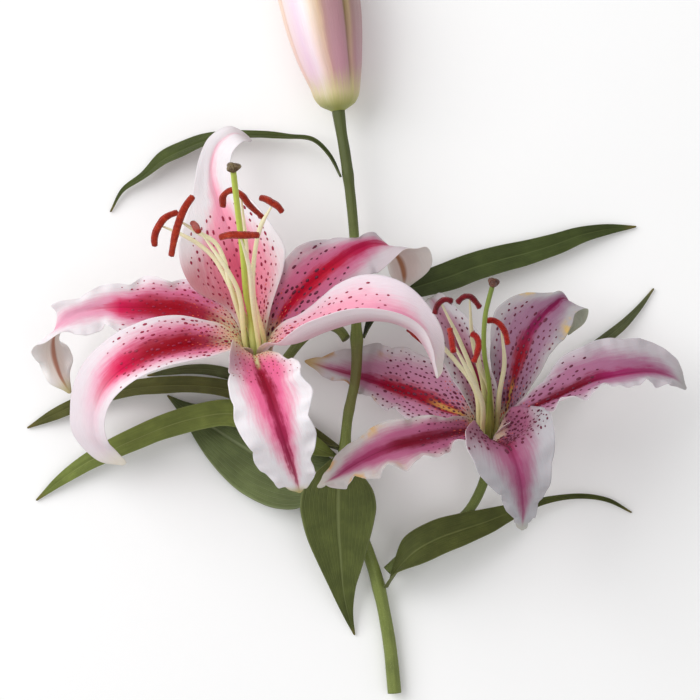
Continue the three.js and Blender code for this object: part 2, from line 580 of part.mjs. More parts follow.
leaf("leaf_left_broad", {
  route: [
    [-5.1, -51.7, 12.6], [-9, -53.5, 12], [-17, -54.5, 9.5], [-27, -53, 7], [-39, -48.5, 5],
    [-51, -41.5, 3.6], [-62, -34.5, 2.6], [-72, -28, 1.4], [-82, -20.6, 0.3],
  ],
  left: [2, 6, 15, 19, 18.5, 15.5, 10.5, 4.6, 0.4],
  right: [2, 6, 14, 18, 18, 15, 10.5, 4.6, 0.4],
  face: [
    [0.1, 0.95, 0.1], [0.1, 0.5, 0.8], [0, 0.1, 1], [0, 0, 1], [0, 0, 1], [0, 0, 1], [0, 0, 1],
    [0, 0, 1], [0, 0, 1],
  ],
  lift: [20, 14, 10, 8, 8, 8, 8, 8, 6],
});
leaf("leaf_left_long", {
  route: [
    [-5, -48, 14.4], [-9, -46.5, 18], [-17, -42.5, 20.5], [-31, -35, 20], [-52, -28.5, 17],
    [-75, -32, 13], [-97, -40.5, 8.5], [-117, -50, 5], [-130, -58.5, 2.6], [-141, -67.5, 0.3],
  ],
  left: [2, 3.4, 5, 6.4, 6.6, 6.2, 5.6, 4.2, 2.6, 0.4],
  right: [2, 3.4, 5, 6.4, 6.6, 6.2, 5.6, 4.2, 2.6, 0.4],
  face: [
    [0.2, 0.95, 0.2], [0.2, 0.8, 0.5], [0.1, 0.5, 0.85], [0, 0.4, 0.9], [0, 0.4, 0.9], [0, 0.4, 0.9],
    [0, 0.4, 0.9], [0, 0.35, 0.93], [0, 0.2, 0.97], [0, 0.1, 1],
  ],
  lift: [20, 16, 12, 10, 10, 10, 10, 10, 8, 6],
});
leaf("leaf_left_upper", {
  route: [
    [-5, -43.6, 14], [-9, -41.8, 14], [-17, -38, 13.8], [-33.5, -28, 12], [-52.5, -18.5, 9.6],
    [-71.5, -16, 8], [-88, -16.5, 6.5], [-103, -18.4, 5.2], [-121, -24, 4], [-135, -30, 2.4],
    [-145, -35, 0.3],
  ],
  left: [2, 3, 4, 4.6, 4.8, 4.8, 4.6, 4.4, 3.6, 2.4, 0.4],
  right: [2, 3, 4, 4.6, 4.8, 4.8, 4.6, 4.4, 3.6, 2.4, 0.4],
  face: [
    [0.2, 0.95, 0.1], [0.1, 0.8, 0.5], [0, 0.6, 0.8], [0, 0.6, 0.8], [0, 0.6, 0.8], [0, 0.6, 0.8],
    [0, 0.6, 0.8], [0, 0.55, 0.83], [0, 0.4, 0.9], [0, 0.2, 0.97], [0, 0.1, 1],
  ],
  lift: [20, 16, 12, 12, 12, 12, 12, 10, 10, 8, 6],
});
leaf("leaf_left_small", {
  route: [
    [-4.2, -44.8, 11.6], [-8, -43.2, 8.5], [-16, -39, 5.5], [-32, -26, 4], [-50, -12.5, 3],
    [-66, -8.6, 2.4], [-80, -9.6, 1.8], [-91, -11.5, 0.3],
  ],
  left: [1.8, 2, 2.4, 2.6, 2.6, 2.4, 1.7, 0.4],
  right: [1.8, 2, 2.4, 2.6, 2.6, 2.4, 1.7, 0.4],
  face: [
    [0.2, 0.95, 0.1], [0.1, 0.7, 0.6], [0, 0.2, 0.97], [0, 0.1, 1], [0, 0.1, 1], [0, 0.1, 1],
    [0, 0.1, 1], [0, 0, 1],
  ],
  lift: [20, 14, 10, 8, 8, 8, 8, 6],
});

// ---------- the origin goes under the middle of the whole ----------
lily.updateMatrixWorld(true);
const box = new THREE.Box3().setFromObject(lily, true);
const middle = box.getCenter(new THREE.Vector3());
lily.position.set(-middle.x, -middle.y, -box.min.z);

export default lily;
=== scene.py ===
import math
import random
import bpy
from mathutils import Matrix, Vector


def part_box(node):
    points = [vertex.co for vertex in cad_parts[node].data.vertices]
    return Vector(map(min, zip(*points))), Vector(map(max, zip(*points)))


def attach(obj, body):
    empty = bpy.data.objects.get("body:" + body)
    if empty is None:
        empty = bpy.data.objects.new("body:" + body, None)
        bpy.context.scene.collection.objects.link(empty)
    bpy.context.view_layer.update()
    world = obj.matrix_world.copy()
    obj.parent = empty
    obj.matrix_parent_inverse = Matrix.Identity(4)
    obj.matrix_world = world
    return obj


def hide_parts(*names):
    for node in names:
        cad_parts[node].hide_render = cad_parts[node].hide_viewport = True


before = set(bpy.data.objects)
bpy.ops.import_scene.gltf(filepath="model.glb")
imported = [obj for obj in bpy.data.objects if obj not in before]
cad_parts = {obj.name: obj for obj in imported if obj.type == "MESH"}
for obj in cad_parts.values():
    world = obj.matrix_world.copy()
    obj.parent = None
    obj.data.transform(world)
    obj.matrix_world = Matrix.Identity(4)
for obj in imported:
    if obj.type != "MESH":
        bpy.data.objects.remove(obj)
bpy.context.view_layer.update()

from types import SimpleNamespace

import bpy
import numpy as np
from mathutils import Vector

# ---- sizes in metres, counts and shares

MM = 0.001
CM_IN_M = 100  # the "real" UV maps are in centimetres
WELD = 1e6  # corners that agree to a micron are one point

TEPAL_GRID = (121, 45)  # points along and across one face
LEAF_GRID = (121, 33)
STEM_GRID = (420, 48)  # points along and round
STALK_GRID = (160, 36)
BUD_GRID = (121, 144)
FILAMENT_GRID = (57, 14)
ANTHER_GRID = (41, 32)
PISTIL_GRID = (121, 30)
STIGMA_GRID = (37, 60)
DOME_SIDES = 8

MARGIN_HALF = 0.10 * MM  # half the thickness of a petal's or leaf's edge
PETAL_FURROW = (0.45 * MM, 1.3 * MM)  # depth and half width
PETAL_KEEL = (0.55 * MM, 1.7 * MM)  # height and half width
LEAF_FURROW = (0.35 * MM, 0.8 * MM)
LEAF_RUFFLE = 0.35 * MM
LEAF_VEINS = 17
VEIN_HEIGHT = 0.08 * MM
TEPAL_NOSE = 0.5 * MM  # how far the tip's last point stands out
LEAF_NOSE = 0.4 * MM
SPOT_GAP = 1.7 * MM
SPOT_BREADTHS = (0.34, 0.44, 0.52, 0.64)  # half breadths, times a petal's spot size
DASH_GAP = 1.0 * MM
DASH_SIZE = 0.45 * MM
MOST_TRIES = 9000  # places tried for one petal's spots
KNOT = (0.22 * MM, 3.5 * MM)  # height and half width of the swelling where a leaf or stalk leaves the stem
CUT_HOLLOW = 0.3 * MM
STEM_INTO_BUD = 3 * MM
BUD_SEAMS = (0.585, 0.92, 0.26)  # shares of the way round
BUD_RIBS = (0.43, 0.75, 0.09)

CAMERA_PLACE = (-0.00214, -0.02778, 1.575)
CAMERA_LENS = 180  # millimetres, on a sensor this wide
SENSOR_WIDTH = 36
CAMERA_CLIP = (0.05, 20)
LIGHTS_AIM = (0, 0, 0.03)
LIGHT_WIDTH = 1.6
SKY_STRENGTH = 0.525
FLOOR_HALF = 6
FLOOR_DROP = 0.6 * MM  # how far the floor lies below z = 0


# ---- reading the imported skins

def lattice(name, foot):
    """A node's skin as rings of points, from the end near foot; each ring runs round the same way."""
    places, points, index = {}, [], []
    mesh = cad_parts[name].data
    for vertex in mesh.vertices:
        key = tuple(round(c * WELD) for c in vertex.co)
        if key not in places:
            places[key] = len(points)
            points.append(tuple(vertex.co))
        index.append(places[key])
    points = np.array(points)
    across = {}
    near = [set() for _ in points]
    triangles = []
    for polygon in mesh.polygons:
        p, q, r = (index[i] for i in polygon.vertices)
        triangles += [(p, q, r), (q, r, p), (r, p, q)]
    for p, q, r in triangles:
        across[p, q] = r
        near[p].update((q, r))
    around = [(len(near[i]), -sum(len(near[k]) for k in near[i])) for i in range(len(points))]
    poles = sorted(range(len(points)), key=lambda i: around[i])[-2:]
    start = min(poles, key=lambda i: lengths(points[i] - foot))
    onward = {r: q for p, q, r in triangles if p == start}
    ring, here = [], next(iter(onward))
    while not ring or here != ring[0]:
        ring.append(here)
        beyond = across[here, onward[here]]
        if len(near[beyond]) == 4:        # a rim point that the cap's own triangles pass by
            ring.append(beyond)
        here = onward[here]
    rings = [ring]
    while len(rings) * len(ring) < len(points) - 2:
        ring = rings[-1]
        rings.append([across[ring[k - 1], ring[k]] for k in range(len(ring))])
    return points[np.array(rings)]


def spline(points, places, closed=False):
    """Smooth values at places (0 is the first given value, 1 the second) along the first axis."""
    n = len(points)
    low = np.floor(places).astype(int)
    if not closed:
        low = np.clip(low, 0, n - 2)
    share = (places - low).reshape((-1,) + (1,) * (points.ndim - 1))
    if closed:
        a, b, c, d = (points[(low + k) % n] for k in (-1, 0, 1, 2))
    else:
        first, last = 2 * points[:1] - points[1:2], 2 * points[-1:] - points[-2:-1]
        padded = np.concatenate([first, points, last])
        a, b, c, d = (padded[low + k] for k in (0, 1, 2, 3))
    return b + 0.5 * share * (c - a + share * (2 * a - 5 * b + 4 * c - d + share * (3 * (b - c) + d - a)))


def finer(rings, rows, columns):
    """Closed rings, filled in to rows by columns."""
    n = rings.shape[1]
    along = spline(rings, np.linspace(0, len(rings) - 1, rows))
    round_ = spline(along.swapaxes(0, 1), np.arange(columns) * n / columns, closed=True)
    return round_.swapaxes(0, 1)


def unit(vectors):
    return vectors / np.maximum(np.linalg.norm(vectors, axis=-1, keepdims=True), 1e-12)


def lengths(vectors):
    return np.linalg.norm(vectors, axis=-1)


def travelled(points):
    """How far along a line of points each one is."""
    return np.concatenate([[0], np.cumsum(lengths(np.diff(points, axis=0)))])


def nearest(points, at):
    return lengths(points - at).argmin()


def foot_of(leaf, line):
    """The middle of that end of a leaf which is nearer to the stem's line."""
    ends = lattice(leaf, line[0])
    return min((ends[0].mean(0), ends[-1].mean(0)), key=lambda p: lengths(line - p).min())


# ---- shaping

def smooth(x, low, high):
    t = np.clip((x - low) / (high - low), 0, 1)
    return t * t * (3 - 2 * t)


def window(x, rise, full, fall, gone):
    """1 from full to fall, 0 before rise and after gone."""
    return smooth(x, rise, full) * (1 - smooth(x, fall, gone))


def bell(x, width):
    return np.exp(-(x / width) ** 2)


def curve(x, stops):
    """Straight lines between (x, y) stops, level before the first and after the last."""
    return np.interp(x, [s[0] for s in stops], [s[1] for s in stops])


def round_grid(grid):
    """For a round piece, the share of the way along of each row and the angle of each column."""
    rows, columns = grid
    return np.linspace(0, 1, rows)[:, None], np.arange(columns) / columns * math.tau


def about(rings):
    """The middle of each ring, and the way out from it at each point."""
    middle = rings.mean(1)
    return middle, unit(rings - middle[:, None])


def swollen(rings, middle, factor):
    """Rings made wider about their middles, each by its own factor."""
    return middle[:, None] + (rings - middle[:, None]) * factor[:, None, None]


# ---- pieces

class Skin:
    """Collects the vertices, faces and UVs of one piece."""

    def __init__(self):
        self.vertices, self.faces, self.uvs, self.kinds = [], [], [], []

    def face(self, corners, uvs, kind):
        self.faces.append(corners)
        self.uvs += uvs
        self.kinds.append(kind)

    def tube(self, rings, maps, kinds=None, caps=(0, 0), noses=(0, 0)):
        """A closed shell from rings [R, C, 3]; maps is [R, C + 1, 4], from uv_maps; kinds go by column."""
        base = len(self.vertices)
        count, columns = rings.shape[:2]
        kinds = kinds or [0] * columns
        self.vertices += list(rings.reshape(-1, 3))

        def number(r, c):
            return base + r * columns + c % columns

        for r in range(count - 1):
            for c in range(columns):
                corners = ((r, c), (r, c + 1), (r + 1, c + 1), (r + 1, c))
                self.face([number(*k) for k in corners], [maps[k] for k in corners], kinds[c])
        for end, (r, inward) in enumerate(((0, 1), (count - 1, count - 2))):
            middle, tip = rings[r].mean(0), len(self.vertices)
            self.vertices.append(middle + unit(middle - rings[inward].mean(0)) * noses[end])
            for c in range(columns):
                pair = ((r, c), (r, c + 1)) if end else ((r, c + 1), (r, c))
                uvs = [maps[k] for k in pair] + [maps[r].mean(0)]
                self.face([number(*k) for k in pair] + [tip], uvs, caps[end])

    def dome(self, at, along, out, length, width, height, kind):
        """A low closed bump, sunk a little into the skin it stands on."""
        base, n = len(self.vertices), DOME_SIDES
        side = np.cross(out, along)
        for scale, lift in ((1.0, -0.35), (0.92, 0.35), (0.55, 0.85)):
            for k in range(n):
                angle = math.tau * k / n
                spoke = along * math.cos(angle) * length + side * math.sin(angle) * width
                self.vertices.append(at + scale * spoke + out * height * lift)
        self.vertices.append(at + out * height)
        around = [(k, (k + 1) % n) for k in range(n)]
        shapes = [(low + k, low + d, low + n + d, low + n + k) for low in (0, n) for k, d in around]
        shapes += [(2 * n + k, 2 * n + d, 3 * n) for k, d in around]
        shapes.append(range(n - 1, -1, -1))
        for shape in shapes:
            self.face([base + i for i in shape], [(0.5, 0.5, 0.0, 0.0)] * len(shape), kind)

    def build(self, node, slot, materials):
        """The mesh object, with two UV maps: shares of the shape, and true lengths in centimetres."""
        mesh = bpy.data.meshes.new(node + "_fine")
        mesh.from_pydata([tuple(v) for v in self.vertices], [], self.faces)
        for material in materials:
            mesh.materials.append(material)
        mesh.polygons.foreach_set("material_index", self.kinds)
        mesh.polygons.foreach_set("use_smooth", [True] * len(mesh.polygons))
        uvs = np.array(self.uvs)
        for label, values in (("share", uvs[:, :2]), ("real", uvs[:, 2:])):
            mesh.uv_layers.new(name=label).data.foreach_set("uv", values.ravel())
        mesh.validate()
        mesh.update()
        obj = show(node + "_fine", mesh)
        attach(obj, "root")
        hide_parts(node)


def show(name, data):
    """A new object in the scene."""
    obj = bpy.data.objects.new(name, data)
    bpy.context.scene.collection.objects.link(obj)
    return obj


def uv_maps(turn, wide, long):
    """Shares across and along a piece, then centimetres across and along it."""
    parts = (turn, (long / long[-1])[:, None], wide * CM_IN_M, long[:, None] * CM_IN_M)
    return np.stack(np.broadcast_arrays(*parts), axis=-1)


def round_piece(node, slot, rings, materials, caps=(0, 0), noses=(0, 0), turn=None):
    """A closed round piece; turn is the share of the way round that each column stands for."""
    middle = rings.mean(1)
    girth = lengths(rings - middle[:, None]).mean(1).max() * math.tau
    around = np.linspace(0, 1, rings.shape[1] + 1)
    skin = Skin()
    maps = uv_maps(around if turn is None else turn, around * girth, travelled(middle))
    skin.tube(rings, maps, caps=caps, noses=noses)
    skin.build(node, slot, materials)


# ---- material building

SUBSURFACE_RADIUS = (0.0022, 0.0012, 0.0010)


def rgb(colour):
    """A display colour, 0 to 255, as the linear colour that nodes use."""
    parts = [c / 255 for c in colour]
    return tuple(c / 12.92 if c <= 0.04045 else ((c + 0.055) / 1.055) ** 2.4 for c in parts) + (1,)


def toned(colour, scale, plus=0):
    """A display colour made lighter or darker."""
    return tuple(min(255, int(c * scale + plus)) for c in colour)


class Paint:
    """A Principled material, short ways to add nodes to it, and the colour it has so far."""

    def __init__(self, name, roughness=0.5, specular=0.35, subsurface=0.0, sheen=0.0):
        self.material = bpy.data.materials.new(name)
        self.material.use_nodes = True
        self.tree = self.material.node_tree
        self.shader = self.tree.nodes["Principled BSDF"]
        self.colour = None
        self.maps = {}
        self.set(self.shader, {"Roughness": roughness, "Specular IOR Level": specular})
        if subsurface:
            self.set(self.shader, {"Subsurface Weight": subsurface, "Subsurface Radius": SUBSURFACE_RADIUS,
                                   "Subsurface Scale": 1.0})
        if sheen:
            self.set(self.shader, {"Sheen Weight": sheen, "Sheen Roughness": 0.4})

    def set(self, node, inputs):
        """Links or sets a node's inputs, given in their order or by name or number."""
        for key, value in inputs.items() if isinstance(inputs, dict) else enumerate(inputs):
            if isinstance(value, bpy.types.NodeSocket):
                self.tree.links.new(value, node.inputs[key])
            else:
                node.inputs[key].default_value = value

    def add(self, kind, inputs=(), **settings):
        """A new node."""
        node = self.tree.nodes.new("ShaderNode" + kind)
        for key, value in settings.items():
            setattr(node, key, value)
        self.set(node, inputs)
        return node

    def map(self, name):
        """A UV map, and its parts across and along."""
        if name not in self.maps:
            pair = self.add("UVMap", uv_map=name).outputs[0]
            across, along, _ = self.add("SeparateXYZ", (pair,)).outputs
            self.maps[name] = pair, across, along
        return self.maps[name]

    def away(self):
        """0 on the midrib, 1 at the margins."""
        return self.math("ABSOLUTE", self.fit(self.map("share")[1], 2.0, -1.0))

    def place(self):
        return self.add("TexCoord").outputs["Object"]

    def math(self, kind, *values):
        return self.add("Math", values, operation=kind).outputs[0]

    def times(self, a, b):
        return self.math("MULTIPLY", a, b)

    def fit(self, value, scale, plus):
        """value * scale + plus."""
        return self.math("MULTIPLY_ADD", value, scale, plus)

    def nudge(self, value, noise, amount):
        """The value, moved either way by up to half the amount."""
        return self.fit(self.math("SUBTRACT", noise, 0.5), amount, value)

    def noise(self, vector, scale, detail=3.0, rough=0.55):
        inputs = {"Vector": vector, "Scale": scale, "Detail": detail, "Roughness": rough}
        return self.add("TexNoise", inputs).outputs[0]

    def streaks(self, wide, long, detail=4, rough=0.6):
        """Noise drawn out lengthwise; wide and long are how often it changes in a centimetre."""
        across, along = self.map("real")[1:]
        stretched = self.add("CombineXYZ", (self.times(across, wide), self.times(along, long))).outputs[0]
        return self.noise(stretched, 1.0, detail, rough)

    def cells(self, vector, scale):
        """The distance from the middle of the nearest of many scattered cells."""
        return self.add("TexVoronoi", {"Vector": vector, "Scale": scale}).outputs["Distance"]

    def step(self, value, low, high, first, last):
        """first below low, last above high, and a smooth change between."""
        inputs = (value, low, high, first, last)
        return self.add("MapRange", inputs, interpolation_type="SMOOTHSTEP").outputs[0]

    def rise(self, value, low, high, last=1.0):
        """0 below low, last above high."""
        return self.step(value, low, high, 0.0, last)

    def drop(self, value, low, high, first=1.0):
        """first below low, 0 above high."""
        return self.step(value, low, high, first, 0.0)

    def ramp(self, value, stops):
        """A colour that goes by straight lines through (value, linear colour) stops."""
        node = self.add("ValToRGB", (value,))
        elements = node.color_ramp.elements
        while len(elements) < len(stops):
            elements.new(0.5)
        for element, (at, colour) in zip(elements, stops):
            element.position = at
            element.color = colour
        return node.outputs[0]

    def stops(self, value, stops, top=1.0):
        """A number that goes by straight lines through (value, number) stops, none above top."""
        return self.times(self.ramp(value, [(at, (number / top,) * 3 + (1,)) for at, number in stops]), top)

    def mix(self, share, a, b):
        """a where share is 0 and b where it is 1; a tuple is a display colour."""
        a, b = (rgb(c) if isinstance(c, tuple) else c for c in (a, b))
        return self.add("Mix", {0: share, 6: a, 7: b}, data_type="RGBA").outputs[2]

    def cover(self, share, colour):
        """Lays a colour over the colour so far."""
        self.colour = self.mix(share, self.colour, colour)

    def shade(self, amount):
        """Makes the colour so far lighter or darker by a number about 1."""
        self.colour = self.add("VectorMath", {0: self.colour, "Scale": amount}, operation="SCALE").outputs[0]

    def veined(self, wide, long):
        """Fine veins, which shade the colour so far; returns them."""
        fine = self.streaks(wide, long, 3)
        self.shade(self.fit(fine, 0.16, 0.92))
        return fine

    def bump(self, height, distance, strength):
        node = self.add("Bump", {"Strength": strength, "Distance": distance, "Height": height})
        self.set(self.shader, {"Normal": node.outputs[0]})

    def rough(self, value, scale, plus):
        self.set(self.shader, {"Roughness": self.fit(value, scale, plus)})

    def finish(self):
        self.set(self.shader, {"Base Color": self.colour})
        return self.material


# ---- tepals: petals and sepals

CREAM = (232, 220, 186)
WHITE = (238, 232, 236)
SPOT = (108, 8, 38)
DARK_SPOT = (66, 4, 30)
DASH = (158, 62, 44)
MOST_FLUSH = 1.5  # no flush_at number is above this
LEVEL = ((0, 0), (1, 0))

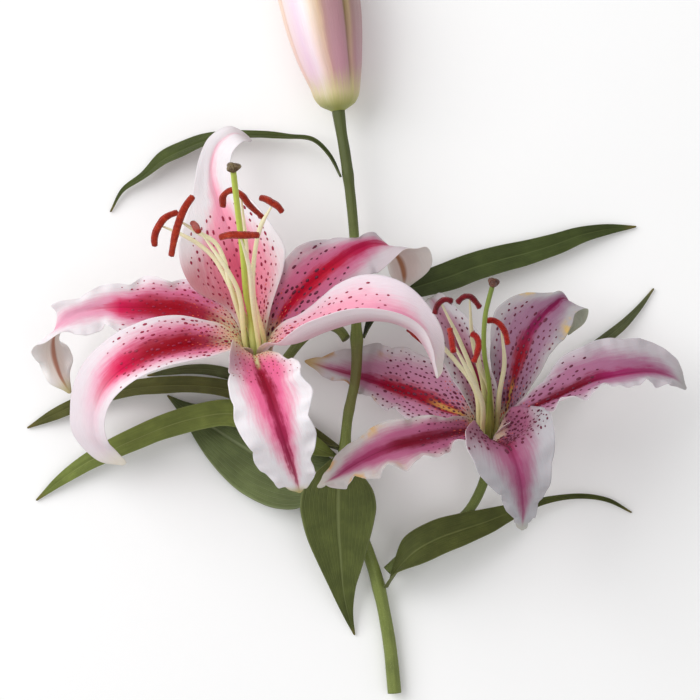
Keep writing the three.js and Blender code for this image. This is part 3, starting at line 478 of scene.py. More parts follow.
# Across, 0 is the midrib and 1 the margin; along, 0 is the claw and 1 the tip. "band" is the dark
# middle, "flush" the pink beside it; pairs are (along, share across) or (along, strength).
# "left" and "right" push a margin out or in and "lean_left" lifts it, in mm, as seen on the inner face
# with the tip up.
# Some tepals also get painted shade: a darker colour over one side of the inner face, given as colour, start
# and end along, strength and side.
TEPALS = {
    "bloom_a_petal_back": dict(
        pink=(244, 156, 180), edge=WHITE, band=(216, 66, 106), far=(246, 160, 188), turn=0.46,
        # The grey tip is painted shade.
        tip=(208, 200, 204),
        band_at=((0, 0.2), (0.12, 0.34), (0.4, 0.3), (0.52, 0.24), (0.8, 0.26), (1, 0.1)),
        band_strength=((0, 0.3), (0.15, 0.8), (0.4, 0.72), (0.54, 0.42), (0.7, 0.18), (0.88, 0.1), (1, 0)),
        flush_at=((0, 0.9), (0.3, 0.86), (0.46, 0.62), (0.56, 0.34), (0.68, 0.14), (0.9, 0), (1, 0)),
        # painted shade over the left half, which curls away from the light
        painted_shade=((176, 66, 84), 0.2, 0.4, 0.75, "left"), blunt=(3.6, 0.93),
        left=((0.18, 0), (0.34, 4), (0.5, 3), (0.62, 0)),
        right=((0.2, 0), (0.36, 1.5), (0.5, 0), (0.76, 0), (0.86, 2.5), (0.95, 2), (1, 0)),
        spots=dict(count=180, along=(0.08, 0.58), across=0.84, size=1), ruffle=(0.5, 0.5), beats=2.5,
        scallop=(0.3, 0.4)),
    "bloom_a_petal_right": dict(
        pink=(240, 168, 190), edge=(234, 220, 228), band=(228, 134, 164), far=(206, 110, 150), turn=0.6,
        tip=(240, 232, 228), band_at=((0, 0.2), (0.3, 0.3), (0.7, 0.4), (0.9, 0.3), (1, 0)),
        band_strength=((0, 0.2), (0.3, 0.3), (0.7, 0.5), (0.85, 0.3), (1, 0)),
        flush_at=((0, 0.98), (0.3, 0.88), (0.55, 0.74), (0.75, 0.52), (0.88, 0.15), (1, 0)),
        reverse=(236, 222, 227), blush=(226, 184, 196), blunt=(4.6, 0.925),
        spots=dict(count=150, along=(0.08, 0.66), across=0.84, size=0.92), ruffle=(0.3, 0.3), beats=2,
        scallop=(0.3, 0.2)),
    "bloom_a_petal_left": dict(
        pink=(232, 130, 168), edge=(230, 218, 224), band=(146, 4, 24), far=(216, 18, 80), turn=0.5,
        tip=(232, 224, 210),
        band_at=((0, 0.2), (0.14, 0.36), (0.3, 0.54), (0.5, 0.46), (0.62, 0.26), (0.78, 0), (1, 0)),
        band_strength=((0, 0.3), (0.16, 0.7), (0.28, 1), (0.54, 1), (0.64, 0.45), (0.74, 0), (1, 0)),
        flush_at=((0, 0.96), (0.3, 0.82), (0.5, 0.64), (0.62, 0.58), (0.75, 0.5), (0.9, 0.4), (1, 0)),
        fade=((0, 1), (0.54, 1), (0.64, 0.62), (0.72, 0.3), (0.82, 0.12), (1, 0)), blunt=(4, 0.925),
        throat=0.25, spots=dict(count=150, along=(0.1, 0.56), across=0.9, size=0.98, dashes=90),
        ruffle=(0.5, 0.5), beats=2, scallop=(0.3, 0.3)),
    "bloom_a_sepal_back_right": dict(
        pink=(196, 104, 140), edge=(194, 182, 188), band=(180, 8, 44), far=(168, 20, 66), turn=0.55,
        tip=(210, 204, 196), band_at=((0, 0.12), (0.3, 0.26), (0.6, 0.26), (0.72, 0.14), (1, 0.1)),
        band_strength=((0, 0.4), (0.2, 1), (0.65, 1), (0.8, 0.5), (1, 0.3)),
        flush_at=((0, 0.95), (0.4, 0.8), (0.6, 0.62), (0.72, 0.3), (1, 0.1)), reverse=(222, 214, 210),
        blush=(214, 196, 190), rib=(158, 94, 44), rib_width=1.5, blunt=(2.5, 0.95),
        spots=dict(count=85, along=(0.08, 0.58), across=0.85, size=1.05, dark=True), ruffle=(2.2, 1.6),
        beats=4, scallop=(1.2, 0.8),
        left=((0.25, 0), (0.36, 3), (0.48, 2), (0.56, -1), (0.64, -6.5), (0.72, -6), (0.8, -4),
            (0.9, -2), (1, 0))),
    "bloom_a_sepal_front": dict(
        pink=(232, 108, 152), edge=WHITE, band=(140, 6, 40), far=(152, 24, 66), turn=0.5,
        tip=(186, 170, 108),
        band_at=((0, 0.08), (0.2, 0.18), (0.4, 0.2), (0.6, 0.16), (0.8, 0.1), (1, 0.05)),
        band_strength=((0, 0.2), (0.15, 0.7), (0.3, 1), (0.75, 0.9), (0.92, 0.6), (1, 0.2)),
        flush_at=((0, 0.98), (0.22, 0.86), (0.4, 0.62), (0.6, 0.44), (0.8, 0.2), (1, 0.02)),
        furrow=(214, 214, 156), furrow_end=0.27, throat=0.25,
        spots=dict(count=170, along=(0.06, 0.36), across=0.9, size=0.66, dashes=30), ruffle=(2.2, 1.8),
        # painted shade over one side near the foot
        beats=5, scallop=(1.5, 1), painted_shade=((150, 106, 120), 0.1, 0.3, 0.8, "right"),
        right=((0, 0), (0.08, 2), (0.15, 5), (0.22, 4), (0.32, 0))),
    "bloom_a_sepal_back_left": dict(
        pink=(218, 122, 160), edge=(230, 222, 226), band=(158, 12, 34), far=(206, 26, 84), turn=0.47,
        tip=(190, 180, 132), band_at=((0, 0.2), (0.15, 0.34), (0.4, 0.5), (0.5, 0.36), (0.56, 0.1), (1, 0)),
        band_strength=((0, 0.4), (0.15, 0.8), (0.3, 1), (0.5, 1), (0.56, 0.45), (0.62, 0), (1, 0)),
        flush_at=((0, 0.98), (0.3, 0.86), (0.5, 0.62), (0.6, 0.5), (0.85, 0.3), (1, 0)),
        fade=((0, 1), (0.46, 1), (0.56, 0.78), (0.75, 0.7), (1, 0)), blunt=(2.5, 0.95), throat=0.24,
        reverse=(236, 230, 228), blush=(226, 210, 200), rib=(172, 104, 76), rib_width=1.8,
        spots=dict(count=150, along=(0.08, 0.5), across=0.9, size=0.8, dashes=80), ruffle=(2.6, 2.6),
        beats=6, scallop=(1.8, 1.3), right=((0.42, 0), (0.54, -3), (0.66, -2.5), (0.76, 0))),
    # Bloom B's colours, margins, tips and spots too, are darker and greyer than bloom A's: partly its own
    # cooler mauve and darker magenta, partly painted shade over the whole bloom.
    "bloom_b_petal_right": dict(
        pink=(169, 109, 140), edge=(199, 191, 197), band=(111, 5, 30), far=(158, 37, 96), turn=0.56,
        tip=(175, 171, 171), band_at=((0, 0.3), (0.2, 0.3), (0.5, 0.2), (0.8, 0.14), (1, 0.05)),
        band_strength=((0, 0.5), (0.2, 1), (0.6, 1), (0.82, 0.7), (0.93, 0), (1, 0)),
        flush_at=((0, 0.98), (0.3, 0.92), (0.6, 0.72), (0.85, 0.42), (1, 0)),
        spots=dict(count=105, along=(0.06, 0.56), across=0.85, size=1, dark=True), ruffle=(1.2, 2.2),
        beats=6, scallop=(0.7, 1.7), blunt=(2.5, 0.95)),
    "bloom_b_petal_front_left": dict(
        pink=(170, 93, 127), edge=(191, 184, 182), band=(110, 7, 31), far=(144, 41, 84), turn=0.6,
        tip=(191, 186, 175), band_at=((0, 0.2), (0.25, 0.34), (0.5, 0.32), (0.75, 0.18), (1, 0.05)),
        band_strength=((0, 0.5), (0.2, 0.9), (0.55, 1), (0.8, 0.8), (0.95, 0.2), (1, 0)),
        flush_at=((0, 0.98), (0.3, 0.92), (0.6, 0.74), (0.78, 0.52), (0.92, 0.1), (1, 0)),
        stain=(206, 160, 92), spots=dict(count=110, along=(0.04, 0.44), across=0.9, size=0.75, dark=True),
        ruffle=(2.2, 1.4), beats=6, scallop=(1.8, 0.7), blunt=(1.4, 0.965)),
    "bloom_b_petal_back": dict(
        pink=(173, 125, 144), edge=(196, 190, 194), band=(126, 11, 49), far=(142, 86, 104), turn=0.6,
        tip=(167, 163, 156), band_at=((0, 0.1), (0.2, 0.24), (0.5, 0.22), (0.7, 0.12), (1, 0)),
        band_strength=((0, 0.4), (0.2, 1), (0.5, 0.9), (0.7, 0.3), (1, 0)),
        flush_at=((0, 0.95), (0.4, 0.8), (0.7, 0.5), (1, 0.1)),
        spots=dict(count=130, along=(0.1, 0.78), across=0.88, size=0.9, dark=True), ruffle=(1, 1), beats=3,
        scallop=(0.5, 0.5)),
    "bloom_b_sepal_front": dict(
        pink=(156, 92, 121), edge=(177, 174, 179), band=(128, 12, 54), far=(148, 57, 100), turn=0.5,
        tip=(182, 179, 169), band_at=((0, 0.2), (0.15, 0.28), (0.4, 0.15), (0.7, 0.1), (1, 0.05)),
        band_strength=((0, 0.4), (0.15, 0.7), (0.4, 0.9), (0.75, 0.7), (0.92, 0.2), (1, 0)),
        flush_at=((0, 1.4), (0.24, 1.3), (0.36, 0.8), (0.5, 0.54), (0.75, 0.4), (0.92, 0.1), (1, 0)),
        furrow=(150, 140, 58),
        spots=dict(count=380, along=(0.14, 0.49), across=0.94, size=1.25, dark=True, dashes=60,
            # painted shade over a lobe on the right side
            dashed=0.24), painted_shade=((138, 50, 86), 0.385, 0.455, 0.85, "right"),
        left=((0, -12), (0.05, -9), (0.1, -3), (0.15, 5), (0.22, 7), (0.34, 3.5), (0.5, 0)),
        lean_left=((0.07, 0), (0.14, 6), (0.19, 7.5), (0.28, 1.5), (0.36, 0)), ruffle=(1.2, 2), beats=5,
        scallop=(0.7, 1.2), blunt=(2.4, 0.955)),
    "bloom_b_sepal_left": dict(
        pink=(191, 131, 160), edge=(208, 200, 204), band=(150, 7, 37), far=(156, 21, 73), turn=0.62,
        tip=(193, 166, 116), band_at=((0, 0.08), (0.2, 0.24), (0.5, 0.28), (0.75, 0.16), (1, 0.08)),
        band_strength=((0, 0.4), (0.2, 1), (0.6, 1), (0.8, 0.8), (1, 0.2)),
        flush_at=((0, 0.98), (0.4, 0.86), (0.7, 0.68), (0.88, 0.3), (1, 0.1)), furrow=(214, 168, 96),
        furrow_end=0.34, stain=(200, 150, 88),
        spots=dict(count=210, along=(0.06, 0.62), across=0.9, size=0.92, dark=True, dashes=80),
        ruffle=(1.4, 1.4), beats=6, scallop=(0.9, 0.9)),
    "bloom_b_sepal_back_right": dict(
        pink=(150, 108, 133), edge=(173, 168, 171), band=(137, 10, 29), far=(126, 20, 74), turn=0.5,
        tip=(156, 160, 136), band_at=((0, 0.05), (0.2, 0.16), (0.4, 0.26), (0.7, 0.13), (1, 0.05)),
        band_strength=((0, 0.3), (0.2, 0.9), (0.35, 1), (0.78, 0.95), (0.88, 0.2), (1, 0)),
        flush_at=((0, 0.95), (0.4, 0.86), (0.65, 0.66), (0.8, 0.4), (1, 0.1)), furrow=(196, 164, 92),
        furrow_end=0.32, stain=(214, 176, 96), reverse=(175, 180, 163), blush=(173, 173, 160),
        rib=(150, 164, 104), blunt=(2.6, 0.94),
        left=((0.42, 0), (0.54, 2), (0.64, 0), (0.74, -4.5), (0.84, -3), (0.92, 0)),
        right=((0, 0), (0.04, -1.5), (0.09, -3), (0.16, -1.5), (0.24, 0)),
        spots=dict(count=160, along=(0.08, 0.62), across=0.88, size=0.95, dark=True, dashes=80),
        ruffle=(1, 1), beats=3, scallop=(0.6, 0.6)),
}


def tepal_inner(name, look):
    """The inner face: pink flush and dark band round the midrib, pale margin and cream throat."""
    paint = Paint(name + "_inner", specular=0.09, subsurface=0.08)
    across, along = paint.map("share")[1:]
    real = paint.map("real")[0]
    away = paint.away()
    streaks = paint.streaks(9.0, 0.9)
    moved = paint.nudge(paint.nudge(away, streaks, 0.34), paint.noise(real, 1.3), 0.22)
    flush = paint.stops(along, look["flush_at"], MOST_FLUSH)
    pinkness = paint.drop(moved, paint.math("SUBTRACT", flush, 0.34), paint.math("ADD", flush, 0.24))
    if "fade" in look:
        pinkness = paint.times(pinkness, paint.stops(along, look["fade"]))
    paint.colour = paint.mix(pinkness, look["edge"], look["pink"])
    # painted shade: a darker colour laid over one side of the inner face, between two places along it
    if "painted_shade" in look:
        painted_shade, low, high, most, side = look["painted_shade"]
        from_side = across if side == "left" else paint.math("SUBTRACT", 1.0, across)
        here = paint.times(paint.rise(along, low - 0.08, low + 0.05),
                           paint.drop(along, high - 0.06, high + 0.1, most))
        near = paint.drop(paint.fit(streaks, 0.2, from_side), 0.12, 0.60)
        paint.cover(paint.times(here, near), painted_shade)
    band = paint.stops(along, look["band_at"])
    soft = paint.drop(moved, 0.0, paint.times(band, 2.1))
    core = paint.drop(moved, paint.times(band, 0.45), paint.fit(band, 1.25, 0.01))
    both = paint.fit(core, 0.62, paint.times(soft, 0.38))
    strength = paint.stops(along, look["band_strength"])
    turn = look["turn"]
    band_colour = paint.mix(paint.rise(along, turn - 0.10, turn + 0.08), look["band"], look["far"])
    paint.cover(paint.times(both, strength), band_colour)
    rib = paint.times(paint.drop(away, 0.0, 0.05), paint.rise(along, 0.15, 0.4, 0.35))
    paint.cover(paint.times(rib, strength), toned(look["band"], 0.72))
    reach = look.get("throat", 0.21)
    paint.cover(paint.drop(paint.fit(streaks, 0.08, along), reach * 0.5, reach * 1.1), CREAM)
    if "furrow" in look:
        end = look.get("furrow_end", 0.22)
        line = paint.times(paint.drop(away, 0.03, 0.14), paint.drop(along, end * 0.7, end))
        paint.cover(paint.times(line, 0.85), look["furrow"])
    if "stain" in look:
        patch = paint.rise(paint.noise(real, 0.9, 3, 0.6), 0.50, 0.66)
        patch = paint.times(patch, paint.rise(away, 0.55, 0.95))
        paint.cover(paint.times(patch, paint.rise(along, 0.45, 0.65, 0.85)), look["stain"])
    paint.cover(paint.rise(along, 0.88, 0.99), look["tip"])
    fine = paint.veined(26.0, 2.2)
    pits = paint.noise(real, 55, 2, 0.5)
    paint.bump(paint.fit(fine, 0.8, paint.times(pits, 0.25)), 0.00035, 0.55)
    paint.rough(fine, 0.22, 0.38)
    return paint.finish()


def tepal_outer(name, look):
    """The reverse: pale, with a brownish green midrib, a pink blush beside it and fine veins."""
    paint = Paint(name + "_outer", specular=0.12, subsurface=0.08)
    along = paint.map("share")[2]
    away = paint.away()
    streaks = paint.streaks(11.0, 0.8)
    blush = paint.drop(paint.nudge(away, streaks, 0.3), 0.2, 0.85, 0.85)
    paint.colour = paint.mix(blush, look.get("reverse", (236, 226, 230)), look.get("blush", (232, 176, 196)))
    paint.cover(paint.drop(along, 0.0, 0.25, 0.8), (222, 190, 182))
    broad = look.get("rib_width", 1.0)
    line = paint.drop(paint.fit(streaks, 0.03, away), 0.03 * broad, 0.12 * broad, 0.85)
    line = paint.times(line, paint.stops(along, ((0, 0.4), (0.3, 0.5), (0.75, 1.0), (1, 1.0))))
    paint.cover(line, look.get("rib", (176, 140, 104)))
    paint.cover(paint.rise(along, 0.93, 1.0), look["tip"])
    fine = paint.veined(24.0, 1.6)
    paint.bump(fine, 0.0004, 0.5)
    paint.rough(fine, 0.2, 0.4)
    return paint.finish()


def spot_paint(name, colour):
    """The raised spots on the inner face."""
    paint = Paint(name, roughness=0.45, specular=0.4)
    grain = paint.noise(paint.place(), 900, 2)
    paint.colour = paint.mix(grain, colour, toned(colour, 1.5, 18))
    paint.bump(grain, 0.0002, 0.4)
    return paint.finish()


def split(rings, inner_is):
    """A blade's two faces, [ring, place across], both from the left margin to the right one."""
    half = rings.shape[1] // 2
    spread = lengths(rings[:, :half] - rings[:, half:])[3:-3].sum(0)
    rings = np.roll(rings, -int(spread.argmax()), axis=1)
    upper, under = rings[:, 1:half].mean(1), rings[:, half + 1:].mean(1)
    if not inner_is(upper, under):
        rings = np.roll(rings, half, axis=1)
    return rings[:, :half + 1], np.concatenate([rings[:, :1], rings[:, :half - 1:-1]], axis=1)


def sheet_of(rings, grid, inner_is):
    """A blade's middle surface, the directions on it, half its thickness and true distances on it."""
    rows, columns = grid
    faces = []
    for face in split(rings, inner_is):
        along = spline(face, np.linspace(0, len(face) - 1, rows)).swapaxes(0, 1)
        faces.append(spline(along, np.linspace(0, len(along) - 1, columns)).swapaxes(0, 1))
    top, bottom = faces
    middle = (top + bottom) / 2
    ahead = unit(np.gradient(middle, axis=0))
    right = unit(np.gradient(middle, axis=1))
    normal = unit(np.cross(right, ahead))
    facing = ((top - bottom) * normal).sum(-1)
    if facing[3:-3, 5:-5].sum() < 0:
        normal, facing = -normal, -facing
    steps = np.cumsum(lengths(np.diff(middle, axis=1)), axis=1)
    wide = np.concatenate([np.zeros((rows, 1)), steps], axis=1)
    return SimpleNamespace(
        middle=middle, normal=normal, ahead=ahead, right=right, half=np.maximum(facing / 2, MARGIN_HALF),
        wide=wide - wide[:, columns // 2][:, None], long=travelled(middle[:, columns // 2]))


def by_side(u, left, right):
    """One value for each row from left where u is under 0, from right elsewhere."""
    return np.where(u < 0, left[:, None], right[:, None])


def blade(inner, outer, sheet, nose):
    """A closed blade; its inner face has the first material, its outer face and ends the second."""
    columns = inner.shape[1]
    u = np.linspace(0, 1, columns)
    wide = np.concatenate([sheet.wide, sheet.wide[:, ::-1], sheet.wide[:, :1]], axis=1)
    maps = uv_maps(np.concatenate([u, u[::-1], u[:1]]), wide, sheet.long)
    kinds = [0] * (columns - 1) + [1] * (columns + 1)
    skin = Skin()
    skin.tube(np.concatenate([inner, outer[:, ::-1]], axis=1), maps, kinds, (1, 1), (0, nose))
    return skin


def waves(draw, along, beats):
    """Uneven waves along one margin, about -1 to 1."""
    total = np.zeros_like(along)
    for harmonic, weight in ((1.0, 1.0), (1.7, 0.6), (2.9, 0.35)):
        beat = beats * harmonic * draw.uniform(0.85, 1.15)
        total += weight * np.sin(math.tau * (beat * along + draw.random()))
    return total / 1.6


def lobes(draw, along, beats):
    """Rounded lobes along one margin."""
    beat = beats * draw.uniform(0.9, 1.1)
    shift = draw.random()
    slow = 0.12 * np.sin(math.tau * (1.3 * along + draw.random()))
    return 2 * np.abs(np.sin(math.pi * (beat * (along + slow / beats) + shift))) - 1.2


def make_tepal(name, look, pistil):
    """A petal or sepal, with its margins, furrow, keel and raised spots."""
    draw = random.Random(name)
    foot, top = pistil[0].mean(0), pistil[-1].mean(0)
    axis = unit(top - foot)

    def off_axis(points):
        rest = points - foot
        return lengths(rest - (rest @ axis)[:, None] * axis)

    rows, columns = TEPAL_GRID
    sheet = sheet_of(lattice(name, foot), TEPAL_GRID,
                     lambda upper, under: (off_axis(upper) < off_axis(under))[1:6].sum() > 2)
    v = sheet.long / sheet.long[-1]
    u = np.linspace(-1, 1, columns)
    a = np.abs(u)
    free = window(v, 0.14, 0.34, 0.90, 1.0)
    breadth, start = look.get("blunt", (1.5, 0.965))
    rounded = np.sqrt(np.clip(1 - (np.maximum(v - start, 0) / (1 - start)) ** 2, 0, 1))
    rounded = rounded * smooth(v, start - 0.14, start)
    lifts, pushes = [], []
    for side, margin, ruffle, scallop in zip(("left", "right"), (0, -1), look["ruffle"], look["scallop"]):
        lift = ruffle * waves(draw, v, look["beats"]) * free
        blunt = np.maximum(0, breadth * rounded - np.abs(sheet.wide[:, margin]) / MM)
        push = scallop * lobes(draw, v, look["beats"]) * free + blunt
        lifts.append(lift + curve(v, look.get("lean_" + side, LEVEL)))
        pushes.append(push + curve(v, look.get(side, LEVEL)))
    lift = by_side(u, *lifts) * MM * smooth(a, 0.40, 1.0) ** 1.5
    push = by_side(u, *pushes) * MM * (a ** 2 * np.sign(u))
    middle = sheet.middle + sheet.normal * lift[..., None] + sheet.right * push[..., None]
    rib_free = window(v, 0.03, 0.14, 0.88, 1.0)[:, None]
    groove, ridge = (size * bell(sheet.wide, width) * rib_free for size, width in (PETAL_FURROW, PETAL_KEEL))
    inner = middle + sheet.normal * (sheet.half - groove)[..., None]
    outer = middle - sheet.normal * (sheet.half + ridge)[..., None]
    skin = blade(inner, outer, sheet, TEPAL_NOSE)
    placed = [inner[0, 0]]

    def scatter(count, ends, spread, gap, size, stretch, kind):
        """Raised marks on the inner face, no two nearer than gap and fewer towards the far end."""
        low, high = ends
        done = tries = 0
        while done < count and tries < MOST_TRIES:
            tries += 1
            p, q = draw.uniform(low, high), draw.uniform(-spread, spread)
            if draw.random() > smooth(high - p, 0.0, 0.16) + 0.15:
                continue
            i, j = p * (rows - 1), (q + 1) / 2 * (columns - 1)
            r, c = int(i), int(j)
            here = inner[r, c]
            at = here + (inner[r + 1, c] - here) * (i - r) + (inner[r, c + 1] - here) * (j - c)
            if lengths(np.array(placed) - at).min() < gap * (0.8 + 0.7 * p / high):
                continue
            placed.append(at)
            done += 1
            broad = size * draw.choice(SPOT_BREADTHS) * draw.uniform(0.9, 1.1) * (1.0 - 0.25 * abs(q))
            length, height = broad * draw.uniform(*stretch), broad * draw.uniform(0.35, 0.6)
            skin.dome(at, sheet.ahead[r, c], sheet.normal[r, c], length, broad, height, kind)

    spots = look["spots"]
    scatter(spots["count"], spots["along"], spots["across"], SPOT_GAP, spots["size"] * MM, (1.3, 2.4), 2)
    dashed = (0.07, spots.get("dashed", 0.30))
    scatter(spots.get("dashes", 60), dashed, 0.8, DASH_GAP, DASH_SIZE, (1.8, 3.4), 3)
    marks = [DARK if spots.get("dark") else RED, BROWN]
    skin.build(name, "tepal", [tepal_inner(name, look), tepal_outer(name, look)] + marks)


# ---- leaves

LEAVES = {
    "leaf_top_left": dict(top=(66, 76, 32), under=(82, 90, 50), vein=(84, 94, 50)),
    "leaf_right_upper": dict(top=(60, 70, 30), under=(78, 88, 48), vein=(78, 88, 44), shade=0.5),
    "leaf_right_bloom": dict(top=(84, 90, 58), under=(100, 106, 74), vein=(110, 116, 84)),
    "leaf_right_lower": dict(top=(72, 78, 34), under=(100, 106, 56), vein=(92, 98, 50)),
    "leaf_front": dict(top=(80, 88, 42), under=(100, 106, 66), vein=(106, 114, 66), veins=0.6),
    "leaf_left_broad": dict(top=(95, 106, 64), under=(96, 104, 66), vein=(127, 136, 96), veins=0.6),
    "leaf_left_long": dict(top=(108, 120, 56), under=(104, 112, 60), vein=(126, 136, 74)),
    "leaf_left_upper": dict(top=(81, 83, 39), under=(90, 92, 50), vein=(100, 102, 54)),
    "leaf_left_small": dict(top=(84, 90, 56), under=(98, 104, 70), vein=(108, 112, 76)),
}


def leaf_paint(name, tone, vein, strength, shade=0.0):
    """Waxy green with parallel veins, a paler midrib and slow changes of tone."""
    paint = Paint(name, specular=0.22)
    across, along = paint.map("share")[1:]
    away = paint.away()
    patches = paint.noise(paint.map("real")[0], 0.7, 4, 0.6)
    grain = paint.streaks(16.0, 0.7, rough=0.65)
    bend = paint.nudge(across, patches, 0.02)

    def veins(count, width):
        """1 on each of count veins, 0 between them."""
        wave = paint.math("SINE", paint.times(bend, math.pi * count))
        return paint.drop(paint.math("ABSOLUTE", wave), 0.0, width)

    main, minor = veins(LEAF_VEINS, 0.42), veins(3 * LEAF_VEINS, 0.6)
    paint.colour = paint.mix(paint.rise(patches, 0.35, 0.7), tone, toned(tone, 1.18, 4))
    paint.cover(paint.rise(grain, 0.35, 0.75, 0.35), toned(tone, 0.72))
    paint.cover(paint.times(main, strength), vein)
    paint.cover(paint.times(minor, strength * 0.35), vein)
    paint.cover(paint.times(paint.drop(away, 0.015, 0.06), 0.7), toned(vein, 1, 18))
    paint.cover(paint.rise(away, 0.93, 1.0, 0.6), toned(vein, 1, 22))
    paint.cover(paint.rise(along, 0.95, 1.0, 0.7), (120, 104, 52))
    if shade:
        paint.shade(paint.step(along, 0.10, 0.55, 1.0 - shade, 1.0))
    height = paint.fit(main, -0.6, paint.times(minor, -0.25))
    paint.bump(paint.fit(grain, 0.5, height), 0.0004, 0.6)
    paint.rough(grain, 0.25, 0.42)
    return paint.finish()


def make_leaf(name, look, foot):
    """A leaf with slightly wavy margins, a furrow along its midrib and fine parallel ribs."""
    draw = random.Random(name)
    sheet = sheet_of(lattice(name, foot), LEAF_GRID,
                     lambda upper, under: (upper - under)[3:-3, 2].sum() > 0)
    v = sheet.long / sheet.long[-1]
    u = np.linspace(-1, 1, LEAF_GRID[1])
    a = np.abs(u)
    wave = by_side(u, waves(draw, v, 3.0), waves(draw, v, 3.0))
    free = window(v, 0.10, 0.3, 0.85, 1.0)[:, None]
    lift = LEAF_RUFFLE * wave * smooth(a, 0.3, 1.0) ** 1.5 * free
    middle = sheet.middle + sheet.normal * lift[..., None]
    rib_free = window(v, 0.0, 0.1, 0.9, 1.0)[:, None]
    room = np.minimum(1, np.abs(sheet.wide[:, :1]) / (3 * MM))
    groove = LEAF_FURROW[0] * bell(sheet.wide, LEAF_FURROW[1]) * rib_free * room
    ribs = VEIN_HEIGHT * np.cos(math.pi * LEAF_VEINS * (u + 1)) * rib_free * (1 - smooth(a, 0.85, 1.0))
    inner = middle + sheet.normal * (sheet.half - groove + ribs)[..., None]
    outer = middle - sheet.normal * (sheet.half + groove + ribs)[..., None]
    vein = look["vein"]
    top = leaf_paint(name + "_top", look["top"], vein, look.get("veins", 0.45), look.get("shade", 0.0))
    under = leaf_paint(name + "_under", look["under"], vein, 0.5)
    blade(inner, outer, sheet, LEAF_NOSE).build(name, "leaf", [top, under])


# ---- stem and flower stalks

def stem_paint(name, tone, light, fork=None, neck=None):
    """Green, streaked lengthwise, with fine pale specks."""
    paint = Paint(name, roughness=0.42, specular=0.4)
    along = paint.map("share")[2]
    place = paint.place()
    grain = paint.streaks(14.0, 0.8, rough=0.65)
    patches = paint.noise(place, 60, 4, 0.6)
    paint.colour = paint.mix(paint.rise(grain, 0.3, 0.7), tone, light)
    paint.cover(paint.rise(patches, 0.45, 0.75, 0.5), toned(tone, 0.7))
    paint.cover(paint.drop(paint.cells(place, 1400), 0.12, 0.3, 0.35), toned(light, 1, 45))
    if fork:
        low, high, brown = fork
        here = paint.times(paint.rise(along, low - 0.05, low), paint.drop(along, high, high + 0.05))
        paint.cover(paint.times(here, paint.step(patches, 0.25, 0.6, 0.3, 0.8)), brown)
    if neck:
        paint.cover(paint.rise(along, 0.70, 0.88, 0.85), neck)
    paint.bump(paint.fit(patches, 0.3, grain), 0.0005, 0.6)
    paint.rough(grain, 0.25, 0.32)
    return paint.finish()


def cut_paint():
    """The cut end: pale moist pith with darker bundles."""
    paint = Paint("stem_cut", roughness=0.55, specular=0.4)
    place = paint.place()
    dots = paint.cells(place, 1500)
    paint.colour = paint.mix(paint.noise(place, 500), (196, 204, 150), (168, 182, 112))
    paint.cover(paint.drop(dots, 0.15, 0.35, 0.7), (122, 140, 70))
    paint.bump(dots, 0.0004, 0.5)
    return paint.finish()


def make_stalk(name, grid, materials, foot, ribs=0.05, knots=(), beyond=0.0):
    """A round stalk with faint ribs, a swelling at each knot, and beyond metres more at its far end."""
    draw = random.Random(name)
    rings = finer(lattice(name, foot), *grid)
    middle, out = about(rings)
    length = travelled(middle)
    angle = round_grid(grid)[1]
    phase = draw.random() * 6
    swell = np.zeros(len(rings))
    for at in knots:
        swell += KNOT[0] * bell(length - length[nearest(middle, at)], KNOT[1])
    uneven = sum(size * np.sin(length / (long * MM) + draw.random() * 6)
                 for size, long in ((0.06, 7), (0.05, 3.1), (0.03, 1.7)))
    grooves = ribs * MM * (np.cos(6 * angle + phase) + 0.5 * np.cos(14 * angle + phase * 2))
    rings = rings + out * (swell[:, None] + uneven[:, None] * MM * 0.5 + grooves)[..., None]
    if beyond:
        onward = unit(middle[-1] - middle[-4]) * beyond
        rings = np.concatenate([rings, [rings[-1] + onward * k / 3 for k in (1, 2, 3)]])
    round_piece(name, "stem", rings, materials, (len(materials) - 1, 0), (-CUT_HOLLOW, 0))


# ---- bud

BUD_SKIN = (  # display colours, by share of the way round
    (0.00, (196, 160, 160)), (0.16, (232, 206, 196)), (0.255, (240, 214, 196)), (0.275, (222, 176, 140)),
    (0.30, (240, 222, 220)), (0.355, (238, 216, 232)), (0.40, (246, 236, 240)), (0.435, (244, 224, 206)),
    (0.465, (226, 196, 164)), (0.48, (190, 150, 140)), (0.50, (188, 146, 150)), (0.545, (184, 138, 146)),
    (0.572, (176, 134, 138)), (0.585, (134, 112, 66)), (0.60, (176, 152, 116)), (0.62, (164, 128, 124)),
    (0.70, (170, 134, 134)), (0.84, (198, 166, 164)), (0.92, (214, 184, 160)), (1.00, (196, 160, 160)),
)
BUD_FOOT = (  # how streaky, where it starts and ends to fade, how strong, colour
    (0.1, 0.20, 0.55, 0.30, (214, 150, 176)),
    (0.14, 0.12, 0.27, 0.80, (206, 200, 138)),
    (0.05, 0.03, 0.12, 0.9, (150, 158, 70)),
)


def bud_paint():
    """Pale pink and dusky mauve, with cream ribs, olive seams and a green base."""
    paint = Paint("bud_skin", specular=0.3, subsurface=0.08, sheen=0.15)
    across, along = paint.map("share")[1:]
    grain = paint.streaks(8.0, 0.6, rough=0.65)
    stops = [(at, rgb(colour)) for at, colour in BUD_SKIN]
    paint.colour = paint.ramp(paint.nudge(across, grain, 0.02), stops)
    for streaky, low, high, strength, colour in BUD_FOOT:
        paint.cover(paint.drop(paint.fit(grain, streaky, along), low, high, strength), colour)
    paint.cover(paint.rise(along, 0.90, 1.0, 0.6), (206, 196, 150))
    fine = paint.veined(22.0, 1.4)
    paint.bump(paint.fit(fine, 0.5, grain), 0.0004, 0.5)
    paint.rough(fine, 0.2, 0.4)
    return paint.finish()


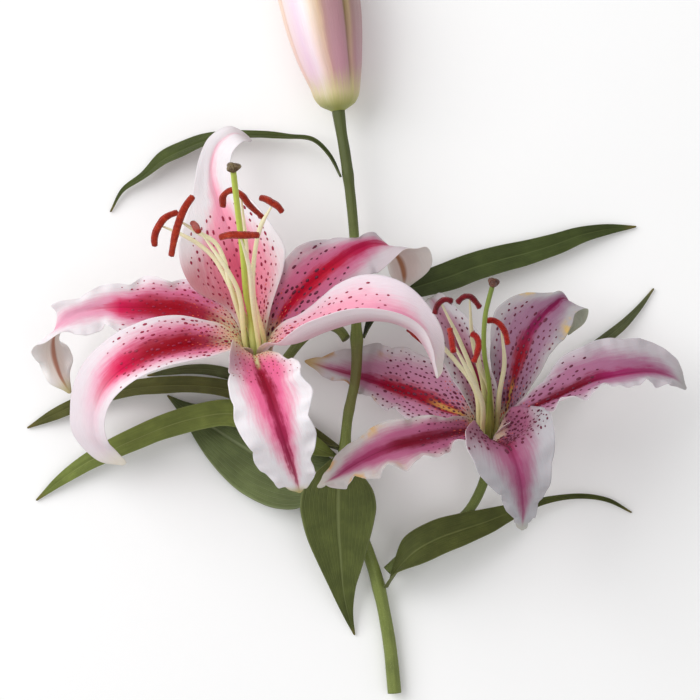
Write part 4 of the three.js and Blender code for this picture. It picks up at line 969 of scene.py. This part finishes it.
def make_bud(foot):
    """The closed bud: a crease at each seam, with a swelling on both sides of it, and ribs between."""
    rings = lattice("bud", foot)
    middle = rings.mean(1)
    ahead = unit(middle[-4] - middle[3])
    up = unit(np.array([0, 0, 1.0]) - ahead * ahead[2])
    side = np.cross(ahead, up)

    def angles(rings):
        """How far round from straight up each point is."""
        rest = rings - rings.mean(1)[:, None]
        return np.arctan2(rest @ side, rest @ up)

    lowest = int(np.abs(np.abs(angles(rings)[rings.shape[1] // 2]) - math.pi).argmin())
    rings = finer(np.roll(rings, -lowest, axis=1), *BUD_GRID)      # so the UV seam faces the table
    angle = np.unwrap(angles(rings)[len(rings) // 2])
    turn = np.linspace(0, 1, len(angle) + 1)
    if angle[-1] < angle[0]:
        turn = 1 - turn

    def gap(at):
        """How far round each column is from a share of the way round."""
        return np.abs((turn[:-1] - at + 0.5) % 1 - 0.5)

    depth = sum(0.35 * bell(gap(seam) - 0.045, 0.03) - 0.75 * bell(gap(seam), 0.012) for seam in BUD_SEAMS)
    depth = depth + sum(0.7 * bell(gap(rib), 0.022) for rib in BUD_RIBS)
    v = round_grid(BUD_GRID)[0]
    middle, out = about(rings)
    rings = rings + out * (depth * window(v, 0.05, 0.2, 0.9, 1.0) * MM)[..., None]
    rounded = np.sqrt(np.clip(v / 0.03, 0.3, 1)) + 0.10 * bell(v - 0.05, 0.05)
    rings = swollen(rings, middle, rounded[:, 0])
    round_piece("bud", "bud", rings, [bud_paint()], noses=(0, 0.6 * MM), turn=turn)


# ---- stamens and pistils

def filament_paint(name, low, high):
    paint = Paint(name, roughness=0.4, specular=0.4, subsurface=0.1)
    grain = paint.noise(paint.place(), 700)
    paint.colour = paint.mix(paint.rise(paint.map("share")[2], 0.0, 0.7), low, high)
    paint.shade(paint.fit(grain, 0.2, 0.9))
    paint.bump(grain, 0.0002, 0.3)
    return paint.finish()


def anther_paint(name, deep, bright, glow):
    """Grainy pollen in clumps, lighter where it is thick, with painted shade between the grains."""
    paint = Paint(name, roughness=0.8, specular=0.15, sheen=0.3)
    place = paint.place()
    grain = paint.cells(place, 3200)
    clumps = paint.noise(place, 420, 4, 0.65)
    paint.colour = paint.mix(paint.rise(clumps, 0.35, 0.65), deep, bright)
    paint.cover(paint.rise(clumps, 0.62, 0.75, 0.7), glow)
    # painted shade: darker towards the edge of each grain, where the grains meet
    paint.cover(paint.rise(grain, 0.2, 0.6, 0.35), toned(deep, 0.6))
    paint.bump(paint.fit(clumps, 1.5, grain), 0.0005, 0.8)
    return paint.finish()


def make_stamen(name, foot, filament, anther):
    """A tapering filament that reaches into its anther, and a two-lobed anther."""
    pod = lattice(name + "_anther", foot)
    stalk = lattice(name + "_filament", foot)
    heart = pod[len(pod) // 2].mean(0)
    rings = finer(stalk, *FILAMENT_GRID)
    middle = rings.mean(1)
    v = round_grid(FILAMENT_GRID)[0][:, 0]
    rings = swollen(rings, middle, 1.06 + 0.34 * (1 - smooth(v, 0.1, 0.7)))
    reach, end = heart - middle[-1], rings[-1] - middle[-1]
    extra = [middle[-1] + reach * share + end * (1 - 0.45 * share) for share in (0.25, 0.5, 0.75, 0.95)]
    round_piece(name + "_filament", "filament", np.concatenate([rings, extra]), [filament])

    draw = random.Random(name)
    rings = finer(pod, *ANTHER_GRID)
    middle, out = about(rings)
    turned = np.arccos(np.clip((out * unit(stalk[-1].mean(0) - heart)).sum(-1), -1, 1))
    v = round_grid(ANTHER_GRID)[0]
    rings = swollen(rings, middle, 1 + 0.5 * (bell(v, 0.10) + bell(1 - v, 0.10))[:, 0])
    # a deep groove on the filament's side and a shallower one behind
    groove = -0.42 * bell(turned, 0.32) - 0.30 * bell(math.pi - turned, 0.30)
    side = 0.12 * bell(turned - math.pi / 2, 0.7)
    rough = np.array([[draw.uniform(-0.07, 0.07) for _ in ring] for ring in rings])
    rings = rings + out * ((groove * window(v, 0.0, 0.12, 0.88, 1.0) + side + rough) * MM)[..., None]
    round_piece(name + "_anther", "anther", rings, [anther], noses=(0.5 * MM, 0.5 * MM))


def pistil_paint(name, ovary, style, top):
    paint = Paint(name, roughness=0.35, specular=0.45, subsurface=0.08)
    along = paint.map("share")[2]
    grain = paint.noise(paint.place(), 500)
    paint.colour = paint.mix(paint.rise(along, 0.10, 0.30), ovary, style)
    paint.cover(paint.rise(along, 0.80, 1.0, 0.7), top)
    paint.shade(paint.fit(grain, 0.2, 0.9))
    paint.bump(grain, 0.0003, 0.3)
    return paint.finish()


def stigma_paint(name, deep, light):
    """Dark, with small wet drops, each with a painted glint in its middle."""
    paint = Paint(name, roughness=0.35, specular=0.5)
    place = paint.place()
    drops = paint.cells(place, 1700)
    paint.colour = paint.mix(paint.rise(paint.noise(place, 450), 0.35, 0.7), deep, light)
    # painted highlight: a lighter dot in the middle of each wet drop
    paint.cover(paint.drop(drops, 0.1, 0.35, 0.5), toned(light, 1, 40))
    paint.bump(drops, 0.0006, 0.7)
    return paint.finish()


def make_pistil(bloom, foot, pistil, stigma):
    """A six-ribbed ovary that narrows to a style, and a three-lobed stigma."""
    rings = finer(lattice(bloom + "_pistil", foot), *PISTIL_GRID)
    v, angle = round_grid(PISTIL_GRID)
    ridges = 0.16 * np.cos(6 * angle) * (1 - smooth(v, 0.2, 0.34)) + 0.05 * np.cos(3 * angle)
    rings = rings + about(rings)[1] * (ridges * MM)[..., None]
    round_piece(bloom + "_pistil", "pistil", rings, [pistil])

    rings = finer(lattice(bloom + "_stigma", foot), *STIGMA_GRID)
    v, angle = round_grid(STIGMA_GRID)
    bulges = 0.35 * np.cos(3 * angle) - 0.55 * bell(angle * 3 / math.tau % 1 - 0.5, 0.07)
    bulges = bulges * (smooth(v, 0.15, 0.6) * (1 - 0.4 * smooth(v, 0.9, 1.0)))
    rings = rings + about(rings)[1] * (bulges * MM)[..., None]
    round_piece(bloom + "_stigma", "stigma", rings, [stigma], noses=(0, -0.5 * MM))


# ---- the lily

RED = spot_paint("spots_red", SPOT)
DARK = spot_paint("spots_dark", DARK_SPOT)
BROWN = spot_paint("throat_dashes", DASH)

stem_low, stem_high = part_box("stem")
cut_end = np.array([(stem_low.x + stem_high.x) / 2, stem_low.y, 0])
stem_line = lattice("stem", cut_end).mean(1)
fork_at = [lattice(f"bloom_{k}_stalk", stem_line[len(stem_line) // 2])[0].mean(0) for k in "ab"]
fork_middle = np.mean(fork_at, axis=0)
travel = travelled(stem_line)
fork_share = travel[nearest(stem_line, fork_middle)] / travel[-1]
fork = (fork_share - 0.03, fork_share + 0.03, (104, 96, 50))
leaf_feet = {leaf: foot_of(leaf, stem_line) for leaf in LEAVES}
green = stem_paint("stem_skin", (108, 120, 54), (122, 133, 64), fork, (66, 74, 28))
knots = list(leaf_feet.values()) + fork_at
make_stalk("stem", STEM_GRID, [green, cut_paint()], cut_end, 0.06, knots, STEM_INTO_BUD)
make_bud(stem_line[-1])

ANTHERS = {
    "a": anther_paint("anther_a", (166, 40, 24), (200, 64, 36), (226, 112, 62)),
    "b": anther_paint("anther_b", (160, 26, 24), (198, 46, 34), (214, 84, 48)),
    "b_dark": anther_paint("anther_b_dark", (104, 14, 28), (136, 22, 34), (160, 40, 44)),
}
BLOOMS = {
    "a": dict(stalk=((92, 102, 46), (122, 130, 66)), filament=((238, 236, 172), (246, 238, 200)),
              pistil=((206, 212, 136), (192, 206, 88), (170, 184, 78)),
              stigma=((82, 60, 34), (130, 112, 70))),
    "b": dict(stalk=((86, 98, 40), (112, 124, 56)), filament=((238, 236, 172), (222, 214, 178)),
              pistil=((176, 176, 96), (132, 150, 62), (106, 122, 52)), stigma=((70, 34, 26), (112, 68, 48))),
}
for key, tones in BLOOMS.items():
    bloom = f"bloom_{key}"
    stalk = lattice(bloom + "_stalk", fork_middle)
    foot = stalk[-1].mean(0)
    skin = stem_paint(bloom + "_stalk_skin", *tones["stalk"])
    make_stalk(bloom + "_stalk", STALK_GRID, [skin], stalk[0].mean(0))
    pistil = lattice(bloom + "_pistil", foot)
    for name, look in TEPALS.items():
        if name.startswith(bloom):
            make_tepal(name, look, pistil)
    filament = filament_paint(bloom + "_filament_skin", *tones["filament"])
    for k in range(1, 7):
        dark = key == "b" and k in (1, 2)
        make_stamen(f"{bloom}_stamen_{k}", foot, filament, ANTHERS["b_dark" if dark else key])
    make_pistil(bloom, foot, pistil_paint(bloom + "_pistil_skin", *tones["pistil"]),
                stigma_paint(bloom + "_stigma_skin", *tones["stigma"]))

for name, look in LEAVES.items():
    make_leaf(name, look, leaf_feet[name])


# ---- floor, light and camera

def floor_paint():
    paint = Paint("floor", roughness=0.9, specular=0.1)
    paint.colour = paint.mix(paint.noise(paint.place(), 3), (250, 250, 250), (254, 254, 254))
    return paint.finish()


corners = [(x * FLOOR_HALF, y * FLOOR_HALF, 0) for x, y in ((-1, -1), (1, -1), (1, 1), (-1, 1))]
mesh = bpy.data.meshes.new("floor")
mesh.from_pydata(corners, [], [(0, 1, 2, 3)])
mesh.materials.append(floor_paint())
floor = show("floor", mesh)
floor.location.z = -FLOOR_DROP


def area_light(name, at, power):
    """A square light that looks at the lily."""
    light = bpy.data.lights.new(name, "AREA")
    light.shape = "RECTANGLE"
    light.size = light.size_y = LIGHT_WIDTH
    light.energy = power
    obj = show(name, light)
    obj.location = at
    obj.rotation_euler = Vector(np.array(LIGHTS_AIM) - np.array(at)).to_track_quat("-Z", "Y").to_euler()


area_light("key", (-1.2, 0.7, 1.25), 26.5)
area_light("fill", (0.6, -0.3, 1.8), 4.5)

world = bpy.data.worlds.new("studio")
world.use_nodes = True
background = world.node_tree.nodes["Background"]
background.inputs["Color"].default_value = (1, 1, 1, 1)
background.inputs["Strength"].default_value = SKY_STRENGTH

lens = bpy.data.cameras.new("camera")
lens.type = "PERSP"
lens.lens = CAMERA_LENS
lens.sensor_width = SENSOR_WIDTH
lens.clip_start, lens.clip_end = CAMERA_CLIP
camera = show("camera", lens)
camera.location = CAMERA_PLACE

scene = bpy.context.scene
scene.world = world
scene.camera = camera
scene.view_settings.view_transform = "Standard"
scene.view_settings.look = "None"
